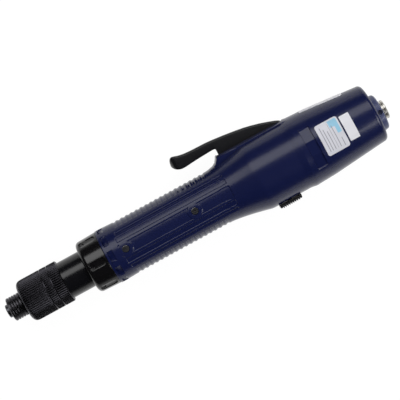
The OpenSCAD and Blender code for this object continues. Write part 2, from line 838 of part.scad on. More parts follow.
module planet_carrier() {
    color("#7f8186")
        difference() {
            rod(carrier_x, carrier_end, carrier_r);
            rod(carrier_x - 1, carrier_end + 1, spindle_tail_r + seat_fit);
            ball_seats(carrier_x - plate_gap / 2);
            at_planets() rod(carrier_end - 3, carrier_end + 1, planet_pin_r + 0.02);
        }
}

// Puts its children at each planet's place, on the X axis of that planet
module at_planets() {
    for (i = [0 : planet_count - 1])
        rotate([360 * i / planet_count, 0, 0]) translate([0, planet_orbit, 0]) children();
}

module planet_pins() {
    color("#a7a9ae")
        at_planets() rod(carrier_end - 2.9, gears_end, planet_pin_r);
}

// One planet gear, with a space towards the sun gear and one towards the ring
module planet_gear(i) {
    color("#6f7175")
        rotate([360 * i / planet_count, 0, 0]) translate([0, planet_orbit, 0])
            difference() {
                prism(gears_x, gears_end) gear2d(planet_teeth, 180 / planet_teeth);
                rod(gears_x - 1, gears_end + 1, planet_pin_r + run_fit);
            }
}

module planet_gear_1() { planet_gear(0); }
module planet_gear_2() { planet_gear(1); }
module planet_gear_3() { planet_gear(2); }

module sun_gear() {
    color("#7c7e83")
        difference() {
            prism(gears_x, gears_end) gear2d(sun_teeth);
            rod(gears_x - 1, gears_end + 1, journal_r + 0.02);
        }
}

module ring_gear() {
    color("#5d5f64")
        difference() {
            rod(gear_x, ring_end, flange_r);
            rod(gear_x - 1, carrier_end + 0.1, carrier_r + 0.6);
            prism(carrier_end - 1, mount_x) gear_space2d(ring_teeth, 180 / ring_teeth);
            rod(mount_x - eps, ring_end + 1, flange_r - 2);
        }
}

// ---------------------------------------------------------------- motor

// Blind holes for the grip screws in a motor mount
module mount_screw_holes(x) {
    for (side = [0, 180])
        rotate([side, 0, 0]) translate([x, 0, motor_bore_r - screw_reach - 0.2])
            cylinder(h = 10, r = screw_r + 0.02);
}

module motor_front_mount() {
    color("#9a9ca1")
        difference() {
            turned([[mount_x, journal_r + 0.6], [mount_x, flange_r - 2.05],
                [ring_end + 0.02, flange_r - 2.05], [ring_end + 0.02, can_r],
                [mount_end, can_r], [mount_end, front_bearing_r + seat_fit],
                [mount_end - bearing_w - 0.5, front_bearing_r + seat_fit],
                [mount_end - bearing_w - 0.5, journal_r + 0.6]]);
            mount_screw_holes(screw_xs[0]);
        }
}

module motor_back_mount() {
    color("#9a9ca1")
        difference() {
            turned([[back_x, back_bearing_r + seat_fit], [back_x, can_r], [back_end, can_r],
                [back_end, 0], [back_x + bearing_w + 0.5, 0],
                [back_x + bearing_w + 0.5, back_bearing_r + seat_fit]]);
            mount_screw_holes(screw_xs[1]);
            for (i = [0 : 2])
                rotate([120 * i - 30, 0, 0]) translate([0, lead_orbit, 0])
                    rod(back_x - 1, back_end + 1, lead_r + seat_fit);
        }
}

module motor_can() {
    color("#6c6f75")
        ring(mount_end + 0.02, back_x - 0.02, can_r, can_r - can_wall);
}

module stator_core() {
    core_r = can_r - can_wall - 0.05;
    bore = rotor_r + air_gap;
    color("#4d4f54")
        prism(stack_x, stack_end)
            difference() {
                union() {
                    difference() {
                        circle(r = core_r);
                        circle(r = tooth_root_r);
                    }
                    intersection() {
                        circle(r = tooth_root_r + 0.5);
                        for (i = [0 : slot_count - 1])
                            rotate(360 * i / slot_count) {
                                translate([5, -tooth_w / 2]) square([10, tooth_w]);
                                translate([5, -tooth_w / 2 - 1.2])
                                    square([shoe_r - 5, tooth_w + 2.4]);
                            }
                    }
                }
                circle(r = bore);
            }
}

module stator_coils() {
    gap = seat_fit;
    color("#b5622d")
        for (i = [0 : slot_count - 1])
            rotate([360 * i / slot_count, 0, 0])
                translate([0, shoe_r + 0.1, 0]) rotate([-90, 0, 0])
                    linear_extrude(tooth_root_r - shoe_r - 0.5)
                        difference() {
                            translate([stack_x - coil_over, -tooth_w / 2 - coil_t])
                                square([stack_len + 2 * coil_over, tooth_w + 2 * coil_t]);
                            translate([stack_x - gap, -tooth_w / 2 - gap])
                                square([stack_len + 2 * gap, tooth_w + 2 * gap]);
                        }
}

module rotor_shaft() {
    step_x = mount_end - bearing_w - 0.25;
    color("#b4b6bb")
        turned([[gears_x, 0], [gears_x, journal_r], [step_x, journal_r], [step_x, shaft_r],
            [back_x + bearing_w, shaft_r], [back_x + bearing_w, 0]]);
}

module rotor_magnet() {
    color("#3c3d42")
        ring(stack_x + 0.5, stack_end - 0.5, rotor_r, shaft_r + 0.02);
}

module motor_bearings() {
    color("#b9bbc0") {
        ball_bearing(mount_end - bearing_w - 0.02, bearing_w - 0.03, shaft_r + run_fit,
            front_bearing_r, 7);
        ball_bearing(back_x + 0.3, bearing_w, shaft_r + run_fit, back_bearing_r, 7);
    }
}

module hall_board() {
    color("#1f5a38")
        difference() {
            union() {
                ring(hall_x, hall_x + hall_t, can_r - can_wall - 0.05, 7.5);
                for (a = [-60, 0, 60])
                    rotate([a, 0, 0]) translate([hall_x + hall_t - eps, 8.6, -2])
                        cube([1, 3, 4]);
            }
        }
}

module motor_leads() {
    start = hall_x + hall_t + 0.05;
    color("#8c2f2a")
        for (i = [0 : 2]) {
            a = 120 * i - 30;
            lead([start, lead_orbit * cos(a), lead_orbit * sin(a)], back_end,
                [board_x + 1.4, board_top + lead_r + 0.1, 4 * (i - 1)], lead_r);
        }
}

// ---------------------------------------------------------------- lever

// Side outline of the lever: bulb at the tip, thin waist, web over the slot
module lever_outline() {
    tip = lever_x - lever_reach;
    top = pin_y + lever_rise;
    neck = tip + 26;
    under = top - 6.1;
    polygon([
        [tip + 0.3, top - 2.4], [tip + 1.2, top + 1.6], [tip + 2.6, top + 2.5],
        [tip + 4.4, top + 2.1], [tip + 7, top + 1.2], [tip + 10.5, top + 0.6],
        [tip + 15, top + 0.25], [tip + 20, top + 0.15], [neck, top], [neck + 5, top - 0.45],
        [neck + 12, top - 1.15], [neck + 20, top - 2.2], [neck + 26, top - 3.1],
        [neck + 31, top - 4.2], [neck + 36, top - 5.5], [neck + 41, top - 7.2],
        [lever_x + 0.6, top - 8.3], [lever_x + 3.2, top - 9.4], [lever_x + 4.4, boss_r - 0.4],
        [lever_x + 4.4, pin_y + 1], [lever_x + 2.6, pin_y - 2.9], [lever_x, pin_y - knuckle_r],
        [lever_x - 5, pin_y - 2.6], [slot_x + 4, pin_y - 1.4], [slot_x + 1.2, pin_y - 0.4],
        [slot_x + 1.2, under - 0.6], [slot_x, under + 0.1],
        [neck - 1, under - 0.15], [tip + 18, under - 0.5], [tip + 13, under - 0.9],
        [tip + 9.5, under - 1.25], [tip + 7.2, under - 1.3], [tip + 5, under - 0.7],
        [tip + 3.4, under + 0.1], [tip + 2, under + 1.3], [tip + 0.8, under + 2.6]]);
}

module lever() {
    tip = lever_x - lever_reach;
    half = lever_w / 2;
    color("#17171b")
        difference() {
            union() {
                intersection() {
                    slab(half + 1) lever_outline();
                    translate([0, 60, 0]) rotate([90, 0, 0]) linear_extrude(60) lever_plan();
                }
                translate([switch_x - finger_w / 2, finger_y, -2])
                    cube([finger_w, pin_y - finger_y - 1, 4]);
            }
            translate([lever_x, pin_y, -half - 2]) cylinder(h = lever_w + 4, r = pin_r + run_fit);
            translate([lever_x, pin_y, -spring_slot]) cylinder(h = 2 * spring_slot, r = 3);
            translate([lever_x - 9, pin_y - 6, -spring_slot])
                cube([18, 8.2, 2 * spring_slot]);
        }
}

// Plan outline of the lever: parallel sides and a rounded, slightly wider tip
module lever_plan() {
    tip = lever_x - lever_reach;
    half = lever_w / 2;
    polygon(concat(
        [for (i = [0 : 8]) let (a = 90 + 22.5 * i)
            [tip + 4.5 + 4.5 * cos(a), (half + 0.5) * sin(a)]],
        [[tip + 16, -half], [lever_x + 8, -half], [lever_x + 8, half], [tip + 16, half]]));
}

module lever_pin() {
    color("#a9abb0")
        translate([lever_x, pin_y, -pin_half]) cylinder(h = 2 * pin_half, r = pin_r);
}

// Torsion spring round the pin, one leg on the lever and one on the housing
module lever_spring() {
    wire = 0.6;
    mid = pin_r + 0.1 + wire / 2;
    turns = 4;
    half = turns * wire * 0.55;
    sides = 6;
    per_turn = 14;
    steps = turns * per_turn;
    color("#9a9ca0")
        translate([lever_x, pin_y, 0]) {
            skin([for (i = [0 : steps]) let (t = i / steps, a = 180 + 360 * turns * t)
                [for (j = [0 : sides - 1]) let (b = 360 * j / sides, r = mid + wire / 2 * cos(b))
                    [r * cos(a), r * sin(a), -half + 2 * half * t + wire / 2 * sin(b)]]]);
            translate([-7.5, 1.1, -half - wire / 2]) cube([6.2, wire, wire]);
            translate([-7.5, -2.9, half - wire / 2]) cube([6.2, wire, wire]);
        }
}

// ---------------------------------------------------------------- direction knob

module direction_knob() {
    pitch = (knob_len - 3) / knob_ridges;
    x0 = knob_x - knob_len / 2;
    x1 = knob_x + knob_len / 2;
    top = knob_floor + knob_h;
    stem_base = -board_under + selector_h + slip_gap;
    color("#15161a")
        union() {
            mirror([0, 1, 0])
                turned(concat(
                    [[x0, knob_floor], [x0, top - 1.2], [x0 + 0.9, top - 0.3]],
                    [for (i = [0 : knob_ridges - 1]) let (x = x0 + 1.5 + (i + 0.5) * pitch)
                        each [[x - 0.42 * pitch, top - 0.5], [x - 0.16 * pitch, top],
                            [x + 0.16 * pitch, top], [x + 0.42 * pitch, top - 0.5]]],
                    [[x1 - 0.9, top - 0.3], [x1, top - 1.2], [x1, knob_floor]]), 2 * knob_angle);
            translate([knob_x - stem_len / 2, -knob_floor - 0.6, -stem_w / 2])
                cube([stem_len, knob_floor + 0.6 - stem_base, stem_w]);
        }
}

module direction_switch() {
    color("#22222a")
        translate([knob_x - selector_len / 2, board_under - 0.02 - selector_h, -4])
            cube([selector_len, selector_h, 8]);
}

// ---------------------------------------------------------------- start switch

module start_switch() {
    color("#26262c")
        difference() {
            translate([switch_x - switch_len / 2, board_top + 0.02, -3.2])
                cube([switch_len, switch_top - board_top - 0.02, 6.4]);
            translate([switch_x, switch_top - 3.6, 0]) rotate([-90, 0, 0])
                cylinder(h = 6, r = plunger_r + run_fit);
        }
}

module switch_plunger() {
    color("#a82a26")
        translate([switch_x, switch_top - 1.8, 0]) rotate([-90, 0, 0])
            cylinder(h = plunger_top - switch_top + 1.8, r = plunger_r);
}

// ---------------------------------------------------------------- electronics

module control_board() {
    color("#1d6040")
        translate([board_x, board_under, -board_w / 2]) cube([board_len, board_t, board_w]);
}

module board_chips() {
    color("#1a1a1d") {
        for (i = [0 : 2], s = [-1, 1])
            translate([board_x + 1.5 + 7 * i, board_top + 0.02, s * 11 - 3]) cube([5, 2, 6]);
        translate([board_x + 40, board_under - 1.42, -5]) cube([10, 1.4, 10]);
        translate([board_end - 7, board_top + 0.02, -6]) cube([6, 5, 12]);
    }
}

module board_capacitors() {
    cap_radius = 4.5;
    color("#2a3350")
        for (s = [-1, 1])
            translate([0, board_top + cap_radius + seat_fit, s * 5.5])
                rod(board_x + 46, board_x + 62, cap_radius);
}

module supply_leads() {
    color("#3a3a3f")
        for (i = [0 : contact_count - 1]) {
            a = 360 * i / contact_count;
            lead([board_end - 0.9, board_top + 2.6, 4.6 * sin(a)], board_end,
                [insert_x - 1.7, -cap_drop + contact_pcd_r * cos(a), contact_pcd_r * sin(a)],
                supply_lead_r);
        }
}

// ---------------------------------------------------------------- connector

module connector_shell() {
    color("#b8bac0")
        translate([0, -cap_drop, 0])
            turned([
                [insert_x - 0.6, insert_r + seat_fit], [insert_x - 0.6, plug_r],
                [cap_end + 1.3, plug_r], [cap_end + 1.4, plug_r - 0.5],
                [cap_end + 1.9, plug_r - 0.5], [cap_end + 2, plug_r],
                [plug_end - 0.4, plug_r], [plug_end, plug_r - 0.4], [plug_end, socket_r],
                [insert_end, socket_r], [insert_end, insert_r + seat_fit]]);
}

module connector_insert() {
    color("#1c1c20")
        translate([0, -cap_drop, 0])
            difference() {
                rod(insert_x, insert_end, insert_r);
                at_contacts() rod(insert_x - 1, insert_end + 1, contact_r + 0.02);
            }
}

// Puts its children at each contact's place round the connector's centre
module at_contacts() {
    for (i = [0 : contact_count - 1])
        rotate([360 * i / contact_count, 0, 0]) translate([0, contact_pcd_r, 0]) children();
}

module connector_contacts() {
    color("#c9a545")
        translate([0, -cap_drop, 0])
            at_contacts() rod(insert_x - 1.6, plug_end - 1.2, contact_r);
}

module connector_nut() {
    color("#a9abb0")
        translate([0, -cap_drop, 0])
            prism(house_end - rear_wall - 4.6, house_end - rear_wall - 2.42)
                difference() {
                    circle(r = plug_r + 2, $fn = 6);
                    circle(r = plug_r + 0.02);
                }
}

spindle();
bit_collar();
collar_spring();
collar_ring();
bit_balls();
torque_sleeve();
thrust_ring();
clutch_tube();
clutch_spring();
clutch_plate();
clutch_balls();
planet_carrier();
planet_pins();
planet_gear_1();
planet_gear_2();
planet_gear_3();
sun_gear();
ring_gear();
spindle_bearing();
front_nut();
left_shell();
right_shell();
grip_screws();
motor_front_mount();
motor_back_mount();
motor_can();
stator_core();
stator_coils();
rotor_shaft();
rotor_magnet();
motor_bearings();
hall_board();
motor_leads();
lever();
lever_pin();
lever_spring();
direction_knob();
direction_switch();
start_switch();
switch_plunger();
control_board();
board_chips();
board_capacitors();
supply_leads();
rear_cap();
connector_shell();
connector_insert();
connector_contacts();
connector_nut();
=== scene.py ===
"""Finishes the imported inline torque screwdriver: its surfaces, materials, light and camera."""

import bpy
import numpy as np
from mathutils import Matrix, Vector


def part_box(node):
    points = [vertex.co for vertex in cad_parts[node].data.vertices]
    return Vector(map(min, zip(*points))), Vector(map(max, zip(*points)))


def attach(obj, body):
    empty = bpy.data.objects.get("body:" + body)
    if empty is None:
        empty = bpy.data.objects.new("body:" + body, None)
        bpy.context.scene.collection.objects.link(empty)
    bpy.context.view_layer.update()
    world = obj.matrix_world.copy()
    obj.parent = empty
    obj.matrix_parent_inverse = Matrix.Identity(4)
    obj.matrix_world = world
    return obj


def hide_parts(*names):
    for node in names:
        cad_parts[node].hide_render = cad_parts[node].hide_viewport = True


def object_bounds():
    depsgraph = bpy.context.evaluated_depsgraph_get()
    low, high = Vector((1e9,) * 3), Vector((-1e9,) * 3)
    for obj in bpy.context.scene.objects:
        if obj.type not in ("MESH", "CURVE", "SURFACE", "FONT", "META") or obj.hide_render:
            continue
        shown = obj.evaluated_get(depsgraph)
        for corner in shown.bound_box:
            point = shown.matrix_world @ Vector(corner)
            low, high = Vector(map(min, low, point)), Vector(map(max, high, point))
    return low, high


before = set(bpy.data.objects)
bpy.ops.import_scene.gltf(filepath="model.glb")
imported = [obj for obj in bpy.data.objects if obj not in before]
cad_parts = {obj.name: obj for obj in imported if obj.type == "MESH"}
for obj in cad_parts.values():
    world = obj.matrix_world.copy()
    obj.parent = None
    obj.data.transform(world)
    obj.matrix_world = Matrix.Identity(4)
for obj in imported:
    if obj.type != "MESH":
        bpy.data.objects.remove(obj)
cad_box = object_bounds()

bl_info = {
    "name": "Inline torque screwdriver",
    "version": (1, 0, 0),
    "blender": (4, 5, 0),
    "location": "3D View > Sidebar > Screwdriver",
    "description": "Shells, grips, knurls, labels and finishes of an inline torque screwdriver",
    "category": "Object",
}

MM = 0.001


def span(node, axis=0):
    """Lowest and highest station of a CAD node along an axis, in millimetres."""
    low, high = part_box(node)
    return low[axis] / MM, high[axis] / MM


def linear(code):
    """A colour written as sRGB hex, turned to the linear RGBA that Blender's sockets take."""
    parts = np.array([int(code[i : i + 2], 16) for i in (1, 3, 5)]) / 255
    low, high = parts / 12.92, ((parts + 0.055) / 1.055) ** 2.4
    return (*(float(v) for v in np.where(parts <= 0.04045, low, high)), 1.0)


# ---------------------------------------------------------------- sizes and colours


def length(name, value, description):
    """A length property that takes its default in millimetres."""
    return bpy.props.FloatProperty(
        name=name, description=description, default=value * MM, unit="LENGTH", precision=5
    )


def colour(name, code, description):
    """A colour property that takes its default as sRGB hex."""
    return bpy.props.FloatVectorProperty(
        name=name, description=description, default=linear(code), subtype="COLOR", size=4
    )


class ScrewdriverSizes(bpy.types.PropertyGroup):
    """Sizes of the outer pieces that the frame's boxes don't give."""

    grip_r: length("Grip radius", 17.85, "Radius of the grip over its ribs")
    ring_r: length("Ring radius", 18.2, "Radius of the windowed ring")
    body_r: length("Body radius", 22.95, "Radius of the rear body under the lever")
    shoulder_r: length("Shoulder radius", 23.6, "Radius of the rear body at its shoulder")
    tail_r: length("Tail radius", 19.45, "Radius of the rear body in front of its rim")
    boss_r: length("Boss height", 23.9, "Height of the lever's boss above the axis")
    rib_pitch: length("Rib spacing", 3.49, "Spacing of the ribs over and under the grip")
    rib_depth: length("Rib depth", 0.5, "Depth of the grooves between the ribs")
    panel_depth: length("Panel depth", 0.45, "Depth of the long panels along the grip")
    sleeve_r: length("Sleeve radius", 14.0, "Radius over the knurl of the torque sleeve")
    knurl_h: length("Knurl height", 0.6, "Height of the ridges of the knurl")
    lever_w: length("Lever width", 10.0, "Width of the start lever")


class ScrewdriverColours(bpy.types.PropertyGroup):
    """Colours of the outer finishes."""

    housing: colour("Housing", "#10173f", "Moulded plastic of the two housing shells")
    nut: colour("Front nut", "#0c0b0d", "Glass-filled nylon of the front nut")
    tube: colour("Clutch tube", "#0b0b0f", "Black enamel of the clutch tube")
    sleeve: colour("Torque sleeve", "#3c3b40", "Blackened steel of the torque sleeve")
    lever: colour("Lever", "#111115", "Moulded plastic of the start lever and the knob")
    cap: colour("Rear cap", "#474c6e", "Moulded plastic of the rear cap")
    nickel: colour("Connector", "#c9c6c0", "Nickel plate of the supply connector")
    foil: colour("Rating label", "#d0d0d8", "Silvered polyester of the rating label")
    paper: colour("Stickers", "#dcdce2", "White vinyl of the stickers")


class StudioSettings(bpy.types.PropertyGroup):
    """Camera and light of the studio."""

    lens: bpy.props.FloatProperty(
        name="Lens", description="Focal length of the camera", default=160.0, unit="CAMERA"
    )
    frame_width: length("Field width", 252.0, "Width of the field at the tool's axis")
    bearing: bpy.props.FloatProperty(
        name="Bearing",
        description="Turn of the tool's axis above the horizontal of the frame",
        default=float(np.radians(28.65)),
        subtype="ANGLE",
    )
    tilt: bpy.props.FloatProperty(
        name="Tilt",
        description="Lean of the camera towards the lever's side",
        default=float(np.radians(2.4)),
        subtype="ANGLE",
    )
    key_power: bpy.props.FloatProperty(
        name="Key power", description="Power of the main softbox", default=4.8, unit="POWER"
    )
    fill_power: bpy.props.FloatProperty(
        name="Fill power", description="Power of the fill lamp", default=6.6, unit="POWER"
    )


def sizes():
    """The size properties as plain numbers in millimetres."""
    group = bpy.context.scene.screwdriver_sizes
    names = ScrewdriverSizes.__annotations__
    return {name: getattr(group, name) / MM for name in names}


def tint(name):
    """One of the colour properties as linear RGBA."""
    return tuple(getattr(bpy.context.scene.screwdriver_colours, name))


# ---------------------------------------------------------------- meshes


def weld(points, faces):
    """Points that coincide become one, and faces lose their repeated corners: a quad with one
    repeat becomes a triangle, and a face with fewer than three different corners goes."""
    keys = np.round(points / 2e-4).astype(np.int64)
    _, first, where = np.unique(keys, axis=0, return_index=True, return_inverse=True)
    where = where.reshape(-1)
    kept = []
    for group in faces:
        f = where[np.asarray(group)]
        repeat = f == np.roll(f, 1, axis=1)
        count = repeat.sum(axis=1)
        kept.append(f[count == 0])
        if f.shape[1] == 4:
            single = count == 1
            kept.append(f[single][~repeat[single]].reshape(-1, 3))
    return points[first], [f for f in kept if len(f)]


def signed_volume(points, faces):
    """Six times the volume that the faces enclose, positive where they point outwards."""
    total = 0.0
    for f in faces:
        a = points[f[:, 0]]
        for k in range(1, f.shape[1] - 1):
            total += np.einsum("ij,ij->i", a, np.cross(points[f[:, k]], points[f[:, k + 1]])).sum()
    return total


def closed_solid(points, faces):
    """A closed solid with its doubles merged and its faces turned outwards."""
    points, faces = weld(points, faces)
    if signed_volume(points, faces) < 0:
        faces = [f[:, ::-1] for f in faces]
    return points, faces


def together(*solids):
    """Several solids as the points and faces of one mesh."""
    points, faces, base = [], [], 0
    for p, fs in solids:
        points.append(p)
        faces += [f + base for f in fs]
        base += len(p)
    return np.concatenate(points), faces


def put(name, solid, body, material, stands_for=(), sharp=32, areas=None):
    """Makes an object of a solid in millimetres and has it ride on a body. areas gives each
    face group's material index where the piece has more than one material."""
    points, faces = solid
    mesh = bpy.data.meshes.new(name)
    mesh.vertices.add(len(points))
    mesh.vertices.foreach_set("co", (points * MM).astype(np.float32).ravel())
    totals = np.concatenate([np.full(len(f), f.shape[1]) for f in faces])
    starts = np.concatenate([[0], np.cumsum(totals)[:-1]])
    corners = np.concatenate([f.ravel() for f in faces])
    mesh.loops.add(len(corners))
    mesh.loops.foreach_set("vertex_index", corners.astype(np.int32))
    mesh.polygons.add(len(totals))
    mesh.polygons.foreach_set("loop_start", starts.astype(np.int32))
    if areas is not None:
        mesh.polygons.foreach_set("material_index", areas.astype(np.int32))
    mesh.update(calc_edges=True)
    mesh.validate()
    mesh.shade_smooth()
    mesh.set_sharp_from_angle(angle=np.radians(sharp))
    for m in material if isinstance(material, (list, tuple)) else [material]:
        mesh.materials.append(m)
    obj = bpy.data.objects.new(name, mesh)
    bpy.context.scene.collection.objects.link(obj)
    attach(obj, body)
    if stands_for:
        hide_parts(*stands_for)
    return obj


def grid_faces(rows, columns, close_rows=False, close_columns=False):
    """Quads of a grid of rows by columns of points, closed on itself either way."""
    i = np.arange(rows if close_rows else rows - 1)
    j = np.arange(columns if close_columns else columns - 1)
    i, j = np.meshgrid(i, j, indexing="ij")
    i2, j2 = (i + 1) % rows, (j + 1) % columns
    return np.stack(
        [i * columns + j, i * columns + j2, i2 * columns + j2, i2 * columns + j], axis=-1
    ).reshape(-1, 4)


def ease(value, low, high):
    """0 below low, 1 above high and a smooth step between them."""
    t = np.clip((value - low) / (high - low), 0, 1)
    return t * t * (3 - 2 * t)


def lathe(stations, radii, turns):
    """A closed loop of stations and radii turned round the X axis: x = station,
    y = radius cos a, z = radius sin a. radii may hold a column for each angle."""
    radii = np.asarray(radii, float)
    if radii.ndim == 1:
        radii = np.repeat(radii[:, None], len(turns), axis=1)
    x = np.repeat(np.asarray(stations, float)[:, None], len(turns), axis=1)
    points = np.stack([x, radii * np.cos(turns), radii * np.sin(turns)], axis=-1)
    faces = grid_faces(len(radii), len(turns), close_rows=True, close_columns=True)
    return closed_solid(points.reshape(-1, 3), [faces])


def arc(x, r, size, start, end, steps):
    """Points of an arc about station x and radius r, from start to end in degrees."""
    a = np.radians(np.linspace(start, end, steps))
    return np.stack([x + size * np.cos(a), r + size * np.sin(a)], axis=-1)


def full_turn(count):
    """Angles of count equal steps round the axis."""
    return np.arange(count) * 2 * np.pi / count


def merged_copy(node):
    """A CAD node's own surface with its loose triangles merged, in millimetres."""
    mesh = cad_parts[node].data
    points = np.empty(len(mesh.vertices) * 3)
    mesh.vertices.foreach_get("co", points)
    mesh.calc_loop_triangles()
    faces = np.empty(len(mesh.loop_triangles) * 3, dtype=np.int64)
    mesh.loop_triangles.foreach_get("vertices", faces)
    return weld(points.reshape(-1, 3) / MM, [faces.reshape(-1, 3)])


# ---------------------------------------------------------------- materials


def add_node(tree, kind, inputs=None, **settings):
    """Adds a node with its settings, and feeds each input from a value or another socket."""
    node = tree.nodes.new(kind)
    for key, value in settings.items():
        setattr(node, key, value)
    for key, value in (inputs or {}).items():
        if isinstance(value, bpy.types.NodeSocket):
            tree.links.new(value, node.inputs[key])
        else:
            node.inputs[key].default_value = value
    return node


def surface(name, base, roughness, metallic=0.0, ior=None, spread=0.12, grain=0.6, bump=0.15,
            wear=0.06, specular=0.5):
    """A finish on Object coordinates: a fine grain raised by bump, a slow drift in colour of
    the share wear, and a drift in roughness of the share spread. grain is in millimetres."""
    material = bpy.data.materials.new(name)
    material.use_nodes = True
    tree = material.node_tree
    tree.nodes.clear()
    where = add_node(tree, "ShaderNodeTexCoord").outputs["Object"]
    fine = add_node(tree, "ShaderNodeTexNoise",
                    {"Vector": where, "Scale": 1 / (grain * MM), "Detail": 3.0})
    slow = add_node(tree, "ShaderNodeTexNoise",
                    {"Vector": where, "Scale": 1 / (14 * MM), "Detail": 4.0, "Roughness": 0.6})
    dark = tuple(v * (1 - wear) for v in base[:3]) + (1.0,)
    light = tuple(min(1.0, v * (1 + wear) + 0.004 * wear) for v in base[:3]) + (1.0,)
    shade = add_node(tree, "ShaderNodeMix", {0: slow.outputs["Fac"], 6: dark, 7: light},
                     data_type="RGBA")
    rough = add_node(tree, "ShaderNodeMapRange",
                     {"Value": slow.outputs["Fac"], "To Min": roughness * (1 - spread),
                      "To Max": roughness * (1 + spread)})
    relief = add_node(tree, "ShaderNodeBump",
                      {"Height": fine.outputs["Fac"], "Strength": bump, "Distance": 0.05 * MM})
    shader = add_node(tree, "ShaderNodeBsdfPrincipled",
                      {"Base Color": shade.outputs[2], "Roughness": rough.outputs["Result"],
                       "Metallic": metallic, "Normal": relief.outputs["Normal"],
                       "Specular IOR Level": specular})
    if ior:
        shader.inputs["IOR"].default_value = ior
    output = add_node(tree, "ShaderNodeOutputMaterial")
    tree.links.new(shader.outputs["BSDF"], output.inputs["Surface"])
    return material


def moulded_abs(name, base, roughness=0.24):
    """ABS from a spark-eroded mould: a soft sheen with a fine even grain, drawn at 0.5 mm."""
    return surface(name, base, roughness, ior=1.53, grain=0.5, bump=0.08, wear=0.05,
                   specular=0.38)


def glass_filled_nylon(name, base):
    """Glass-filled nylon: a darker gloss with a faint flow pattern."""
    return surface(name, base, 0.17, ior=1.53, grain=0.7, bump=0.06, wear=0.08, spread=0.2)


def black_enamel(name, base):
    """Stoved black enamel on steel: a smooth high gloss that mirrors the lamps softly."""
    return surface(name, base, 0.22, ior=1.5, grain=1.2, bump=0.04, wear=0.1)


def turned_steel(name, base, roughness=0.34, wear=0.15):
    """Turned and blackened or bright steel: a metal whose roughness drifts along the cut."""
    return surface(name, base, roughness, metallic=1.0, grain=0.35, bump=0.1, wear=wear,
                   spread=0.25)


def plated(name, base, roughness=0.2):
    """Electroplate over brass: a clean bright metal with faint polishing marks."""
    return surface(name, base, roughness, metallic=1.0, grain=0.4, bump=0.05, wear=0.05)


def printed_film(name, base, roughness=0.42):
    """Printed polyester or vinyl film: a smooth satin with hardly any grain."""
    return surface(name, base, roughness, ior=1.58, grain=0.3, bump=0.03, wear=0.03)


# ---------------------------------------------------------------- stations

NUT_X, HOUSE_X = span("front_nut")
NECK_X, HOUSE_END = span("left_shell")
SLEEVE_X, SLEEVE_END = span("torque_sleeve")
COLLAR_X, COLLAR_END = span("bit_collar")
KNOB_X0, KNOB_X1 = span("direction_knob")
LEVER_X0 = span("lever")[0]
HOUSE_X += 0.05
GRIP_X = HOUSE_X + 12.2
SWELL_X = GRIP_X + 67
BODY_X = SWELL_X + 27
SHOULDER_X = BODY_X + 31.3
LEVER_PIN_X, LEVER_PIN_Y = (sum(span("lever_pin", axis)) / 2 for axis in (0, 1))
BOSS_X = SWELL_X + 11
SLOT_X, SLOT_END, SLOT_HALF = BOSS_X + 0.4, LEVER_PIN_X + 5.2, 5.4
KNOB_X = (KNOB_X0 + KNOB_X1) / 2
KNOB_SLOT, KNOB_SLOT_HALF = 4.9, 3.3
RIM_ROUND, WALL, REAR_WALL = 2.8, 2.4, 2.4
CAP_BORE = 10.45
NECK_BORE, GRIP_BORE = 15.0, 15.2
TUBE_BORE, THREAD_BORE, LIP_BORE = 12.38, 10.28, 8.4
THREAD_END = 28.48
SCREW_HEAD_R = 2.32
GROOVE_DEPTH = 0.62
LABEL_X, STICKER_X, TOP_STICKER_X = (223.1, 238.5), (239.6, 246.3), (220.5, 249.5)
SCREW_XS = (span("grip_screws")[0] + 2.0, span("grip_screws")[1] - 2.0)
BOSS_HALF = np.radians(22)


# ---------------------------------------------------------------- housing


def swell(t, g):
    """Radius of the swell at the share t of its length."""
    return g["grip_r"] + (g["body_r"] - g["grip_r"]) * np.clip(t, 0, 1) ** 1.35


def plain_radius(x, g):
    """Radius of the housing without its details: a grip, a swell that rises as a power of its
    length, and a rear body that tapers from its shoulder. Corners are rounded by averaging
    over a short length."""
    corners = np.array([
        [HOUSE_X - 2, g["ring_r"]], [HOUSE_X + 3.4, g["ring_r"]],
        [GRIP_X - 4, g["grip_r"] + 0.15], [GRIP_X, g["grip_r"]], [SWELL_X, g["grip_r"]],
    ])
    rear = np.array([
        [BODY_X, g["body_r"]], [SHOULDER_X - 3.8, g["body_r"]],
        [SHOULDER_X - 1, g["shoulder_r"] - 0.2], [SHOULDER_X + 0.4, g["shoulder_r"]],
        [SHOULDER_X + 3, g["shoulder_r"] - 0.2], [SHOULDER_X + 14, g["shoulder_r"] - 0.7],
        [HOUSE_END - RIM_ROUND, g["tail_r"]], [HOUSE_END + 2, g["tail_r"] - 0.45],
    ])
    fine = np.arange(HOUSE_X - 2, HOUSE_END + 2, 0.05)
    r = np.where(fine < SWELL_X, np.interp(fine, *corners.T),
                 np.where(fine < BODY_X, swell((fine - SWELL_X) / (BODY_X - SWELL_X), g),
                          np.interp(fine, *rear.T)))
    window = np.hanning(33)
    r = np.convolve(np.pad(r, 16, mode="edge"), window / window.sum(), mode="valid")
    return np.interp(x, fine, r)


def boss_radius(x, g):
    """Height of the boss for the lever: a concave ramp, a steep front and a level top."""
    corners = np.array([
        [BOSS_X - 9.5, g["grip_r"]], [BOSS_X - 5, g["grip_r"] + 1],
        [BOSS_X - 3, g["grip_r"] + 2.2], [BOSS_X - 1.8, g["grip_r"] + 3.8],
        [BOSS_X - 0.6, g["boss_r"] - 0.4], [BOSS_X + 0.2, g["boss_r"]],
        [LEVER_PIN_X + 4.5, g["boss_r"]], [SHOULDER_X + 1.4, g["boss_r"] - 0.3],
        [SHOULDER_X + 3.6, g["shoulder_r"] - 0.9], [SHOULDER_X + 6, g["grip_r"]],
    ])
    return np.interp(x, *corners.T, left=0, right=0)


